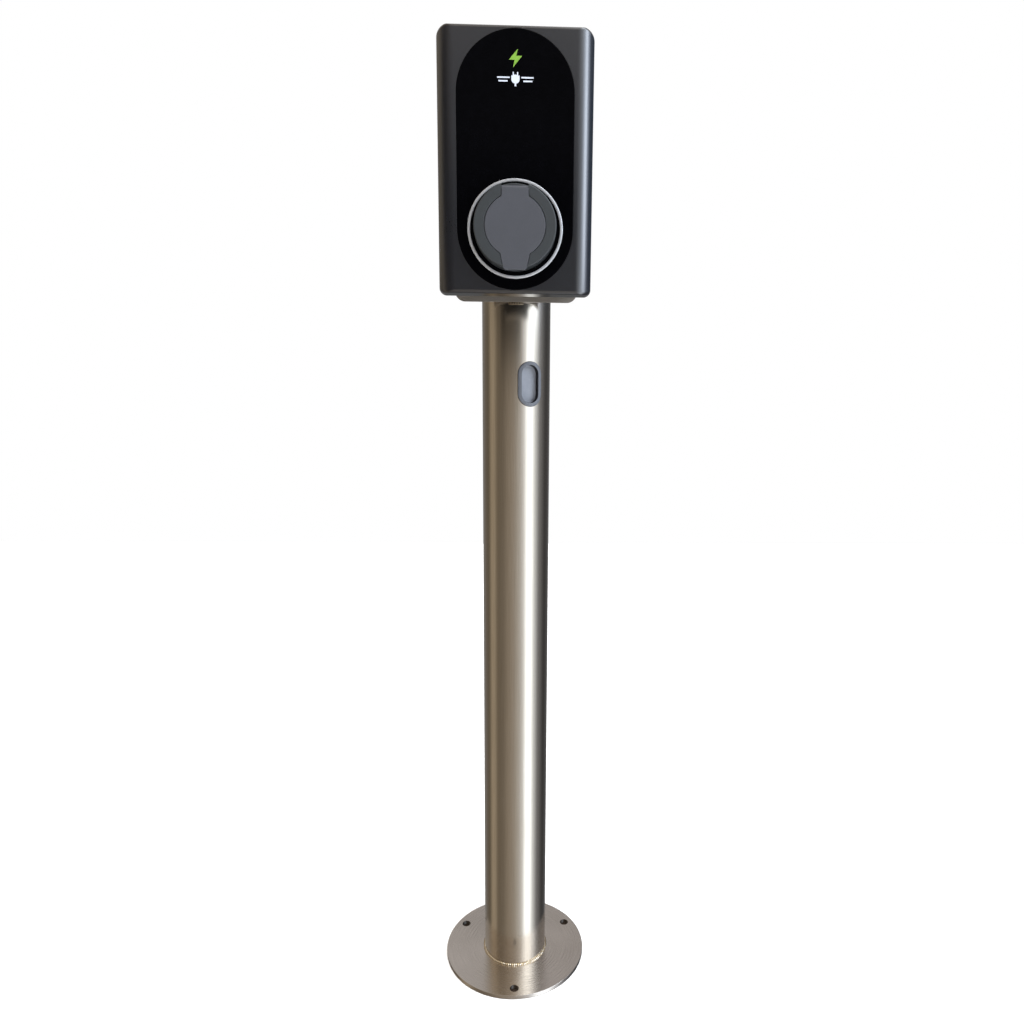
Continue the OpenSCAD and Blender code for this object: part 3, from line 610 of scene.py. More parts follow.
def dress(piece: Piece, node: str, slot: str) -> None:
    """Puts the finish of a CAD node on every face of a piece.

    Args:
        piece: The object that gets the finish.
        node: The CAD node that it is or stands for.
        slot: The node's material slot in the record.
    """
    finish = NODE_FINISH.get(node, SLOT_FINISH[slot])
    if finish.name not in _made:
        _made[finish.name] = finish.material()
    piece.data.materials.clear()
    piece.data.materials.append(_made[finish.name])
    piece.data.polygons.foreach_set("material_index", np.zeros(len(piece.data.polygons), np.int32))


# ---------------------------------------------------------------- places read from the frame

def span(node: str) -> tuple[Array, Array]:
    """Gives a CAD node's lowest and highest corners in mm.

    Args:
        node: Name of the CAD node.

    Returns:
        Both corners as arrays of three numbers.
    """
    low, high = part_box(node)
    return np.array(low) / MM, np.array(high) / MM


COVER_LOW, COVER_HIGH = span("front_cover")
RING_LOW, RING_HIGH = span("trim_ring")
SOCKET_Z = float(RING_LOW[2] + RING_HIGH[2]) / 2
FRONT_Y = float(COVER_LOW[1])
MID_Z = float(COVER_LOW[2] + COVER_HIGH[2]) / 2


# ---------------------------------------------------------------- mesh making

def from_socket(radius: Array, turn: Array, forward: Array) -> Array:
    """Places points given round the socket's axis.

    X is radius times cosine of turn, Z is the socket's height plus radius times sine of turn, and Y
    is the front face less the distance forward.

    Args:
        radius: Distances from the axis, in mm.
        turn: Angles from +X towards +Z, in radians.
        forward: Distances in front of the front face, in mm.

    Returns:
        Points with a last axis of three.
    """
    radius, turn, forward = np.broadcast_arrays(radius, turn, forward)
    return np.stack([radius * np.cos(turn), FRONT_Y - forward,
                     SOCKET_Z + radius * np.sin(turn)], -1)


def linked(name: str, data: bpy.types.ID) -> Piece:
    """Makes an object of a mesh, a lamp or a camera and puts it in the scene."""
    made = bpy.data.objects.new(name, data)
    bpy.context.scene.collection.objects.link(made)
    return made


def skin(name: str, sheets: Sequence[Array], crease: float = 32.0) -> Piece:
    """Makes one closed mesh from grids of points.

    Each sheet is an array (rows, columns, 3) in mm, or many such arrays in one; neighbouring points
    are joined into quads, with no wrap: a closed row repeats its first point. Doubles are merged,
    empty faces dropped and the normals of each closed shell turned outward.

    Args:
        name: Name of the new object.
        sheets: The grids of points.
        crease: Angle in degrees above which an edge is shaded sharp.

    Returns:
        The new object, linked to the scene, with its place in its mesh.
    """
    points, faces, start = [], [], 0
    for sheet in sheets:
        index = start + np.arange(sheet[..., 0].size).reshape(sheet.shape[:-1])
        faces.append(np.stack([index[..., :-1, :-1], index[..., 1:, :-1], index[..., 1:, 1:],
                               index[..., :-1, 1:]], -1).reshape(-1, 4))
        points.append(sheet.reshape(-1, 3) * MM)
        start += index.size
    mesh = bpy.data.meshes.new(name)
    mesh.from_pydata(np.concatenate(points), [], np.concatenate(faces))
    shell = bmesh.new()
    shell.from_mesh(mesh)
    bmesh.ops.remove_doubles(shell, verts=shell.verts, dist=2e-6)
    bmesh.ops.dissolve_degenerate(shell, edges=shell.edges, dist=1e-6)
    bmesh.ops.recalc_face_normals(shell, faces=shell.faces)
    shell.to_mesh(mesh)
    shell.free()
    mesh.polygons.foreach_set("use_smooth", np.ones(len(mesh.polygons), bool))
    mesh.set_sharp_from_angle(angle=math.radians(crease))
    return linked(name, mesh)


def evened(piece: Piece) -> Piece:
    """Lets large faces set the shading, so that flat faces look flat up to their broken edges."""
    steady = piece.modifiers.new("even_shading", "WEIGHTED_NORMAL")
    steady.weight, steady.keep_sharp = 90, True
    return piece


def closed(loop: Array) -> Array:
    """Repeats the first point of each row at its end, so that the row closes."""
    return np.concatenate([loop, loop[:, :1]], 1)


def pole(loop: Array) -> Array:
    """Gives a row of the same length whose points all lie at the middle of a loop."""
    return np.broadcast_to(loop.mean(0), loop.shape)


def revolve(profile: Array, place: Placer,
            steps: int = 160, join: bool = True) -> Array:
    """Turns a profile about an axis: each profile point sweeps a full circle.

    Args:
        profile: Points as (radius, distance along the axis), in mm.
        place: Function that places radius, turn and distance along the axis.
        steps: Number of flats round the circle.
        join: True joins the last profile point to the first, for a ring.

    Returns:
        One sheet.
    """
    rows = np.vstack([profile, profile[:1]]) if join else profile
    turn = np.linspace(0, FULL_TURN, steps + 1)
    turn[-1] = 0.0
    return place(rows[:, :1], turn[None, :], rows[:, 1:])


def about_post(radius: Array, turn: Array, height: Array) -> Array:
    """Places points round the tube's axis: X and Y from radius and turn, Z from height."""
    radius, turn, height = np.broadcast_arrays(radius, turn, height)
    return np.stack([radius * np.cos(turn), radius * np.sin(turn), height], -1)


def rounded_profile(corners: Sequence[tuple[float, float, float]], steps: int = 5) -> Array:
    """Rounds the corners of a closed profile with arcs tangent to both sides.

    Each corner is (a, b, radius): the arc runs between the points at distance radius times the
    tangent of half the turn before and after the corner.

    Args:
        corners: Corner points with their radii, in order; a radius of 0 stays sharp.
        steps: Points on each arc.

    Returns:
        The rounded profile.
    """
    spots = np.array([c[:2] for c in corners], float)
    rows = []
    for i, (_, _, radius) in enumerate(corners):
        here, before, after = spots[i], spots[i - 1], spots[(i + 1) % len(spots)]
        back = (before - here) / np.linalg.norm(before - here)
        ahead = (after - here) / np.linalg.norm(after - here)
        bend = math.pi - math.acos(float(np.clip(back @ ahead, -1, 1)))
        if radius <= 0 or bend < 0.02:
            rows.append(here[None])
            continue
        reach = radius * math.tan(bend / 2)
        middle = here + (back + ahead) / np.linalg.norm(back + ahead) * radius / math.cos(bend / 2)
        first, last = here + back * reach - middle, here + ahead * reach - middle
        t = np.linspace(0, 1, steps)[:, None]
        swing = (np.sin((1 - t) * bend) * first + np.sin(t * bend) * last) / math.sin(bend)
        rows.append(middle + swing)
    return np.vstack(rows)


@dataclass(frozen=True)
class Outline:
    """A rectangle with round corners in the X-Z plane, walked with a fixed number of points.

    Because every outline has the same number of points in the same order, two outlines join
    point to point, whatever their sizes: a circle and a stadium are outlines as well.

    Attributes:
        across: Half width.
        up: Half height.
        corner: Corner radius.
        z: Height of the middle.
        x: Place of the middle across.
    """

    across: float
    up: float
    corner: float
    z: float
    x: float = 0.0
    arc: int = 25
    side: int = 9

    def at(self, y: float) -> Array:
        """Gives the outline's points at one depth: four corner arcs joined by straight runs.

        Args:
            y: Place along Y, in mm.

        Returns:
            An array (4 times (arc + side), 3) in mm.
        """
        signs = np.array([[1, 1], [-1, 1], [-1, -1], [1, -1]])
        middles = signs * [self.across - self.corner, self.up - self.corner]
        degrees = np.linspace(0, 90, self.arc)[None] + np.array([0, 90, 180, 270])[:, None]
        turn = degrees * math.pi / 180
        arcs = middles[:, None] + self.corner * np.stack([np.cos(turn), np.sin(turn)], -1)
        t = np.linspace(0, 1, self.side + 2)[1:-1][None, :, None]
        runs = arcs[:, -1:] * (1 - t) + np.roll(arcs[:, :1], -1, 0) * t
        flat = np.concatenate([arcs, runs], 1).reshape(-1, 2)
        return np.stack([flat[:, 0] + self.x, np.full(len(flat), y), flat[:, 1] + self.z], -1)


def stack(rows: Sequence[Array], ring: bool = False, caps: bool = False) -> Array:
    """Lays loops of matched points over each other as one sheet.

    Args:
        rows: The loops, in order along the surface.
        ring: True joins the last loop to the first.
        caps: True closes both ends at their middles.

    Returns:
        One sheet.
    """
    rows = list(rows)
    if caps:
        rows = [pole(rows[0]), *rows, pole(rows[-1])]
    if ring:
        rows.append(rows[0])
    return closed(np.stack(rows))


def settle(piece: Piece, slot: str, node: str, body: str = "post") -> None:
    """Dresses a new piece, hands it to its body and lets it stand for its CAD node.

    Args:
        piece: The new object.
        slot: The record's material slot.
        node: The CAD node that it stands for.
        body: The CAD body that it rides on.
    """
    dress(piece, node, slot)
    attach(piece, body)
    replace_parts(piece, node)
    LOG.info("made %s for %s: %d faces", piece.name, node, len(piece.data.polygons))


def softened(node: str, name: str, slot: str, edge: float, body: str = "post") -> None:
    """Copies a CAD node, merges it and breaks its sharp edges with a fine bevel.

    Args:
        node: The CAD node to copy.
        name: Name of the new piece.
        slot: The record's material slot.
        edge: Width of the broken edge, in mm.
        body: The CAD body that it rides on.
    """
    mesh = frame["nodes"][node].data.copy()
    mesh.name = name
    solid = bmesh.new()
    solid.from_mesh(mesh)
    bmesh.ops.remove_doubles(solid, verts=solid.verts, dist=5e-6)
    bmesh.ops.dissolve_limit(solid, angle_limit=math.radians(1.0), verts=solid.verts,
                             edges=solid.edges)
    solid.to_mesh(mesh)
    solid.free()
    mesh.polygons.foreach_set("use_smooth", np.ones(len(mesh.polygons), bool))
    piece = linked(name, mesh)
    bevel = piece.modifiers.new("broken_edges", "BEVEL")
    bevel.width, bevel.segments, bevel.limit_method = edge * MM, 2, "ANGLE"
    bevel.angle_limit = math.radians(35)
    bevel.use_clamp_overlap = True
    piece.modifiers.new("even_shading", "WEIGHTED_NORMAL").weight = 80
    settle(piece, slot, node, body)


# Pieces made from their CAD mesh: node, new name, slot, width of the broken edge in mm, and body
# where it isn't the post.
SOFT_SHELL: tuple[tuple, ...] = (
    ("rear_case", "rear_housing", "case_plastic", 0.8),
    ("head_plate", "tube_head_plate", "plate_steel", 0.4),
    ("wall_bracket", "folded_bracket", "zinc_steel", 0.3),
    ("breather_vent", "vent_plug", "black_plastic", 0.4),
    ("gland_nut", "gland_lock_nut", "gland_grey", 0.3),
    ("fascia_bolt_mark", "bolt_print", "mark_green", 0.05))
SOFT_INLET: tuple[tuple, ...] = (
    ("contact_carrier", "contact_insert", "black_plastic", 0.4),
    ("power_contacts", "power_sleeves", "contact_metal", 0.25),
    ("signal_contacts", "pilot_sleeves", "contact_metal", 0.2),
    ("lock_pin", "lock_bolt_pin", "bright_steel", 0.4, "lock_bolt"))


# ---------------------------------------------------------------- the post

@dataclass
class Hole:
    """A hole through a wall, at a turn and a place along it, with a round-ended outline.

    Attributes:
        u: Middle in the wall's first direction.
        v: Middle in the wall's second direction.
        half_u: Half size of the patch round the hole, in the first direction.
        half_v: Half size of the patch, in the second direction.
        rim: Function from angles to the outline's offsets (du, dv).
    """

    u: float
    v: float
    half_u: float
    half_v: float
    rim: Callable[[Array], Array]


def pierced_wall(outer: Face,
                 inner: Face, v_values: Array,
                 holes: Sequence[Hole], around: int, patch: int = 16) -> list[Array]:
    """Makes a closed wall with holes: two faces on one grid, patches round holes, and hole walls.

    The grid's lines pass through each patch's corners. Inside a patch the face runs in loops from
    the patch's square border to the hole's outline, and the hole's wall joins the two faces.

    Args:
        outer: Places (u, v) on the outer face; u is a full turn in radians.
        inner: Places (u, v) on the inner face.
        v_values: Grid lines in the second direction.
        holes: The holes; their patches don't overlap.
        around: Grid lines of the plain face round the full turn.
        patch: Grid steps along each side of a patch.

    Returns:
        The sheets.
    """
    us = [np.linspace(0, FULL_TURN, around + 1)]
    vs = [v_values]
    for hole in holes:
        us.append(np.linspace(hole.u - hole.half_u, hole.u + hole.half_u, patch + 1))
        vs.append(np.linspace(hole.v - hole.half_v, hole.v + hole.half_v, patch + 1))

    def tidy(lines: Array, clears: list[Array]) -> Array:
        """Merges grid lines and drops plain lines that fall inside a patch's own range."""
        keep = np.ones(len(lines), bool)
        for own in clears:
            keep &= (lines <= own[0] - 1e-6) | (lines >= own[-1] + 1e-6)
        return np.unique(np.round(np.concatenate([lines[keep], *clears]), 9))

    def distinct(ranges: list[Array]) -> list[Array]:
        """Drops a patch's lines where an earlier patch already has the same range."""
        kept: list[Array] = []
        for own in ranges:
            if not any(np.allclose(own, other) for other in kept):
                kept.append(own)
        return kept

    u_lines, v_lines = tidy(us[0], distinct(us[1:])), tidy(vs[0], distinct(vs[1:]))
    sheets: list[Array] = []
    grid_u, grid_v = np.meshgrid(u_lines, v_lines, indexing="ij")
    for face in (outer, inner):
        whole = face(grid_u, grid_v)
        taken = np.zeros((len(u_lines) - 1, len(v_lines) - 1), bool)
        for hole in holes:
            u_mid = (u_lines[1:] + u_lines[:-1]) / 2
            v_mid = (v_lines[1:] + v_lines[:-1]) / 2
            taken |= (np.abs(u_mid - hole.u) < hole.half_u)[:, None] & \
                     (np.abs(v_mid - hole.v) < hole.half_v)[None]
        first, second = np.nonzero(~taken)
        corners = np.stack([whole[first, second], whole[first + 1, second],
                            whole[first, second + 1], whole[first + 1, second + 1]], 1)
        sheets.append(corners.reshape(-1, 2, 2, 3))
    for end in (v_lines[0], v_lines[-1]):
        sheets.append(np.stack([outer(u_lines, np.full(len(u_lines), end)),
                                inner(u_lines, np.full(len(u_lines), end))]))
    for hole in holes:
        u_side = u_lines[np.abs(u_lines - hole.u) < hole.half_u + 1e-6]
        v_side = v_lines[np.abs(v_lines - hole.v) < hole.half_v + 1e-6]
        border = np.concatenate([
            np.stack([u_side, np.full(len(u_side), v_side[0])], -1)[:-1],
            np.stack([np.full(len(v_side), u_side[-1]), v_side], -1)[:-1],
            np.stack([u_side[::-1], np.full(len(u_side), v_side[-1])], -1)[:-1],
            np.stack([np.full(len(v_side), u_side[0]), v_side[::-1]], -1)[:-1]])
        away = border - [hole.u, hole.v]
        angle = np.arctan2(away[:, 1] / hole.half_v, away[:, 0] / hole.half_u)
        outline = hole.rim(angle) + [hole.u, hole.v]
        t = (np.linspace(0, 1, 6) ** 0.8)[:, None, None]
        loops = closed(border[None] * (1 - t) + outline[None] * t)
        sheets.append(outer(loops[..., 0], loops[..., 1]))
        sheets.append(inner(loops[..., 0], loops[..., 1]))
        sheets.append(np.stack([outer(loops[-1, :, 0], loops[-1, :, 1]),
                                inner(loops[-1, :, 0], loops[-1, :, 1])]))
    return sheets


@dataclass
class Post:
    """The tube with what is fixed to it: foot plate, weld, top cap and oval plug.

    Attributes:
        wall: Thickness of the tube.
        plug_turn: Direction of the oval plug, in degrees from the front towards the right.
        plug_across: Width of the plug's rim.
        plug_up: Height of the plug's rim.
        plug_lap: How far the plug's rim laps over the edge of its hole.
        gland_bore: Radius of the hole behind the cable gland.
        cable_bore: Radius of the foot plate's middle hole.
        weld: Leg of the foot weld.
        ripple: Step between the weld's ripples.
    """

    wall: float = 2.0
    plug_turn: float = 24.0
    plug_across: float = 37.0
    plug_up: float = 65.0
    plug_lap: float = 3.5
    gland_bore: float = 18.0
    cable_bore: float = 30.0
    weld: float = 3.0
    ripple: float = 3.2

    def build(self) -> None:
        """Makes every piece of the post."""
        low, high = span("post_tube")
        self.radius = float(high[0] - low[0]) / 2
        plug_low, plug_high = span("access_plug")
        self.plug_z = float(plug_low[2] + plug_high[2]) / 2
        self.tube(float(low[2]), float(high[2]))
        self.foot()
        self.foot_weld(float(low[2]))
        self.cap(float(high[2]))
        self.plug()

    def tube(self, bottom: float, top: float) -> None:
        """Makes the tube: two cylinders on one grid, with the plug's hole and the gland's hole.

        Args:
            bottom: Height of the tube's lower end.
            top: Height of its upper end.
        """
        gland_low, gland_high = span("cable_gland")
        gland_z = float(gland_low[2] + gland_high[2]) / 2

        def oval(angle: Array) -> Array:
            """Round-ended upright outline: half circles of radius a above and below a straight."""
            a, b = self.plug_across / 2 - self.plug_lap, self.plug_up / 2 - self.plug_lap
            side, rise = np.cos(angle), np.sin(angle)
            straight = np.abs(rise) * a <= (b - a) * np.abs(side) + 1e-12
            lift = b - a
            round_end = lift * np.abs(rise) + np.sqrt(np.maximum(a * a - (lift * side) ** 2, 0))
            reach = np.where(straight, a / np.maximum(np.abs(side), 1e-9), round_end)
            return np.stack([reach * side / self.radius, reach * rise], -1)

        def ring(angle: Array) -> Array:
            """Round outline of the gland's hole."""
            return self.gland_bore * np.stack([np.cos(angle) / self.radius, np.sin(angle)], -1)

        front = -math.pi / 2 + FULL_TURN
        patch_turn, plug_patch, gland_patch = 0.44, 38.0, 24.0
        holes = [Hole(front + math.radians(self.plug_turn), self.plug_z, patch_turn, plug_patch,
                      oval), Hole(front, gland_z, patch_turn, gland_patch, ring)]
        lines = np.linspace(bottom, top, 24)
        sheets = pierced_wall(lambda u, v: about_post(self.radius, u, v),
                              lambda u, v: about_post(self.radius - self.wall, u, v),
                              lines, holes, 168)
        settle(skin("upright_tube", sheets), "post_steel", "post_tube")

    def foot(self) -> None:
        """Makes the foot plate: a disc on a polar grid with three holes and broken edges."""
        low, high = span("base_flange")
        rim, thick, bore = float(high[0] - low[0]) / 2, float(high[2]), self.cable_bore
        break_edge = 0.5
        turn = np.linspace(0, math.pi / 2, 5)
        knots = np.concatenate([[bore], np.linspace(bore + 8, rim - 3, 9),
                                rim - break_edge + break_edge * np.sin(turn)])
        drop = np.concatenate([np.zeros(10), break_edge * (1 - np.cos(turn))])
        steps = np.arange(len(knots), dtype=float)

        def face(top: bool) -> Face:
            """Gives the upper or lower face as a function of turn and radius number."""
            def place(u: Array, v: Array) -> Array:
                """Radius and drop are read from the profile's knots."""
                radius = np.interp(v, steps, knots)
                fall = np.interp(v, steps, drop)
                return about_post(radius, u, thick - fall if top else fall)
            return place

        def place_of(radius: float) -> float:
            """Gives the knot number of a radius."""
            return float(np.interp(radius, knots[:11], steps[:11]))

        middle = place_of(HOLE_CIRCLE)
        half = place_of(HOLE_CIRCLE + 10) - middle
        slope = (place_of(HOLE_CIRCLE + HOLE_RADIUS) - place_of(HOLE_CIRCLE - HOLE_RADIUS)) \
            / (2 * HOLE_RADIUS)

        def round_hole(angle: Array) -> Array:
            """Circle of a hole's radius in polar steps."""
            return np.stack([HOLE_RADIUS * np.cos(angle) / HOLE_CIRCLE,
                             HOLE_RADIUS * np.sin(angle) * slope], -1)

        holes = [Hole(math.radians(degrees), middle, 0.12, half, round_hole)
                 for degrees in (30.0, 150.0, 270.0)]
        sheets = pierced_wall(face(True), face(False), steps, holes, 180, 12)
        settle(evened(skin("foot_plate", sheets)), "plate_steel", "base_flange")

    def foot_weld(self, ground: float) -> None:
        """Makes the foot weld: a quarter-round bead whose size swells and sinks along its ripples.

        The bead's reach is the leg times one less a tenth of a scalloped wave round the tube, and
        each ripple leans back as the bead goes up.

        Args:
            ground: Height of the foot plate's upper face.
        """
        count = round(FULL_TURN * (self.radius + 1.5) / self.ripple)
        turn = np.linspace(0, FULL_TURN, count * 10 + 1)
        turn[-1] = 0.0
        around = np.linspace(0, math.pi / 2, 7)[:, None]
        phase = count * turn[None] + 0.9 * np.sin(around * 2)
        wander = 0.05 * np.sin(3 * turn) + 0.04 * np.sin(7 * turn + 1.0)
        swell = 1 - 0.13 * np.abs(np.sin(phase / 2)) ** 3 + wander
        leg = self.weld * 0.93 * swell
        radius = self.radius + leg * np.sin(around) ** 0.8
        height = ground + leg * np.cos(around) ** 0.8
        face = about_post(radius, turn[None], height)
        heel = about_post(np.full((1, 1), self.radius), turn[None], np.full((1, 1), ground))
        sheet = np.concatenate([heel, face, heel])
        settle(skin("foot_weld", [sheet], 60), "weld_steel", "base_weld")

    def cap(self, top: float) -> None:
        """Makes the push-in cap: a shallow lid with a rounded rim over a skirt inside the tube.

        Args:
            top: Height of the tube's upper end.
        """
        r, inside = self.radius, self.radius - self.wall
        profile = rounded_profile([
            (0.01, top + 3, 0), (r, top + 3, 1.4), (r, top, 0.2), (inside - 0.05, top, 0),
            (inside - 0.05, top - 15, 0.6), (inside - 1, top - 15, 0.3), (inside - 1, top, 0.3),
            (0.01, top, 0)])
        settle(skin("top_cap", [revolve(profile, about_post)]), "black_plastic", "tube_cap")

    def plug(self) -> None:
        """Makes the oval plug: round-ended loops laid on cylinders and on a flat floor.

        A loop's points (u, w) go to the depth that puts them on a cylinder of the given radius,
        the square root of radius squared less u squared, or to a plane for the floor.
        """
        turn = math.radians(self.plug_turn)

        def loop(grow: float, radius: Optional[float] = None, plane: Optional[float] = None
                 ) -> Array:
            """Places the rim's outline, grown by some mm, on a cylinder or on a plane."""
            across, up = self.plug_across / 2 + grow, self.plug_up / 2 + grow
            flat = Outline(across, up, across, 0.0, arc=17, side=11).at(0.0)
            u, w = flat[:, 0], flat[:, 2]
            depth = np.sqrt(radius ** 2 - u ** 2) if plane is None else np.full(len(u), plane)
            x = u * math.cos(turn) + depth * math.sin(turn)
            y = u * math.sin(turn) - depth * math.cos(turn)
            return np.stack([x, y, w + self.plug_z], -1)

        skirt = [loop(-3.7, plane=self.radius - 11)]
        rim = [loop(grow, self.radius + out) for grow, out in (
            (-3.7, -2), (-3.7, 0.02), (-0.05, 0.02), (0, 0.2), (0, 1.0), (-0.3, 1.6), (-0.9, 1.93),
            (-1.6, 2), (-4.6, 2), (-5.2, 1.85), (-5.5, 1.4), (-5.55, -2))]
        dish = [loop(grow, plane=self.radius - down) for grow, down in (
            (-5.7, 8.0), (-6.2, 8.45), (-7.0, 8.5), (-12, 8.5))]
        rows = [*skirt, *rim, *dish]
        settle(skin("oval_plug", [stack(rows, caps=True)], 40), "grey_plug", "access_plug")


# ---------------------------------------------------------------- the charger

@dataclass
class Charger:
    """The charger's shell: front cover, fascia, ring, prints, rear case and what hangs on them.

    Attributes:
        side_radius: Radius of the cover's upright front edges.
        edge_radius: Radius of its top and bottom front edges.
        corner: Radius of its corners seen from the front.
        wall: Thickness of the cover.
        recess: Depth of the fascia's seat.
        fascia_across: Width of the glossy window.
        socket_bore: Radius of the hole for the socket.
    """

    side_radius: float = 22.0
    edge_radius: float = 4.0
    corner: float = 9.0
    wall: float = 3.0
    recess: float = 1.6
    fascia_across: float = 144.0
    socket_bore: float = 51.3

    def build(self) -> None:
        """Makes every piece of the shell."""
        self.half = COVER_HIGH[0], (COVER_HIGH[2] - COVER_LOW[2]) / 2
        self.back = float(COVER_HIGH[1])
        self.cover()
        self.fascia()
        self.ring()
        for row in SOFT_SHELL:
            softened(*row)

    def section(self, depth: float, inset: float = 0.0) -> Array:
        """Gives the cover's outline at a depth behind its front, drawn in by a wall.

        Across, a quarter circle of the side radius draws the outline in near the front: radius less
        the square root of radius squared less (radius less depth) squared. Up and down it is the
        same with the edge radius. The corner grows from nearly sharp to its full radius.

        Args:
            depth: Distance behind the front face, in mm.
            inset: Wall between the outer form and this one, in mm.

        Returns:
            The outline's points.
        """
        def drawn(radius: float) -> float:
            """How far a quarter circle of this radius draws in at this depth."""
            left = max(radius - (depth - inset), 0.0)
            return radius - math.sqrt(max(radius ** 2 - left ** 2, 0.0))

        side = max(self.side_radius - inset, 1.0)
        edge = max(self.edge_radius - inset, 1.0)
        full = max(self.corner - inset, 1.0)
        grown = min(max((depth - inset) / side, 0.0), 1.0)
        corner = 1.0 + (full - 1.0) * grown ** 0.7
        return Outline(self.half[0] - inset - drawn(side), self.half[1] - inset - drawn(edge),
                       corner, MID_Z).at(FRONT_Y + depth)

    def window(self, grow: float) -> Outline:
        """Gives the fascia's stadium outline, grown by some mm."""
        half = self.fascia_across / 2 + grow
        return Outline(half, self.half[1] - self.edge_radius - 0.5 + grow, half, MID_Z)

    def bore(self, radius: float) -> Outline:
        """Gives a circle round the socket's axis as an outline."""
        return Outline(radius, radius, radius, SOCKET_Z)

    def cover(self) -> None:
        """Makes the cover: a closed shell of loops from its rim round the front and back inside.

        Two depths follow the cover's split line, and the others follow its two edge radii. The
        front has a stadium recess for the fascia, and six tubular pillars take the screws.
        """
        depths = sorted({24.0, 23.6, *(radius * (1 - math.sin(a))
                                       for radius, steps in ((self.side_radius, 22),
                                                             (self.edge_radius, 9))
                                       for a in np.linspace(0, math.pi / 2, steps))}, reverse=True)
        rim = self.back - FRONT_Y
        rows = [self.section(min(d, rim)) for d in depths]
        rows.append(Outline(self.half[0] - self.side_radius - 0.3,
                            self.half[1] - self.edge_radius - 0.1, 1.0, MID_Z).at(FRONT_Y))
        rows += [self.window(grow).at(FRONT_Y + depth) for grow, depth in (
            (0.5, 0), (0.3, 0.08), (0.2, 0.3), (0.2, self.recess))]
        rows += [self.bore(radius).at(FRONT_Y + depth) for radius, depth in (
            (self.socket_bore, self.recess), (self.socket_bore, 9), (62, 9), (62, self.wall))]
        inside = sorted({d + self.wall for d in depths if d + self.wall < rim})
        rows += [self.section(d, self.wall) for d in inside]
        rows += [self.section(rim - 0.4, self.wall), self.section(rim, self.wall)]
        sheets = [stack(rows, ring=True)]
        end, root = self.back - 4, FRONT_Y + self.wall
        pillar = np.array([[4.0, end], [4.0, root - 0.4], [0.01, root - 0.4], [0.01, root + 0.4],
                           [1.7, root + 0.4], [1.7, end]])
        for x in (-self.half[0] + 17, 0.0, self.half[0] - 17):
            for z in (COVER_LOW[2] + 8.5, COVER_HIGH[2] - 8.5):
                sheets.append(revolve(pillar, self.along(x, z), 24))
        settle(evened(skin("front_cover_shell", sheets)), "cover_grey", "front_cover")

    @staticmethod
    def along(x: float, z: float) -> Placer:
        """Gives a function that places radius, turn and Y round an axis along Y at x and z."""
        def place(radius: Array, turn: Array, y: Array) -> Array:
            """X and Z from radius and turn, Y as given."""
            radius, turn, y = np.broadcast_arrays(radius, turn, y)
            return np.stack([x + radius * np.cos(turn), y, z + radius * np.sin(turn)], -1)
        return place

    def fascia(self) -> None:
        """Makes the fascia: a stadium plate with polished edges, a ring groove and a hole."""
        low, high = span("fascia_panel")
        front, back = float(low[1]), float(high[1])
        groove = float(RING_HIGH[1])
        outer, inner = RING_HIGH[0] + 0.05, RING_HIGH[0] - 3.65
        r, polish = self.socket_bore, 0.45
        turn = np.linspace(0, math.pi / 2, 5)
        rows = [self.bore(r).at(back), self.window(0).at(back)]
        rows += [self.window(-polish * (1 - math.cos(a))).at(front + polish * (1 - math.sin(a)))
                 for a in turn]
        rows += [self.window(-polish - 0.2).at(front), self.window(-polish - 1.2).at(front)]
        rows += [self.bore(radius).at(y) for radius, y in (
            (outer + 1.2, front), (outer + 0.2, front), (outer, front + 0.1), (outer, groove),
            (inner, groove), (inner, front + 0.1), (inner - 0.2, front), (r + 0.3, front),
            (r, front + 0.3))]
        settle(evened(skin("gloss_fascia", [stack(rows, ring=True)])), "fascia_gloss",
               "fascia_panel")

    def ring(self) -> None:
        """Makes the silver ring: a flat band with softly rounded shoulders round the socket."""
        back, front = FRONT_Y - float(RING_HIGH[1]), FRONT_Y - float(RING_LOW[1])
        outer = float(RING_HIGH[0])
        inner = outer - 3.6
        profile = rounded_profile([(inner, back, 0), (outer, back, 0), (outer, front, 1.1),
                                   (inner, front, 1.1)], 8)
        settle(skin("silver_ring", [revolve(profile, from_socket, 240)]), "ring_silver",
               "trim_ring")


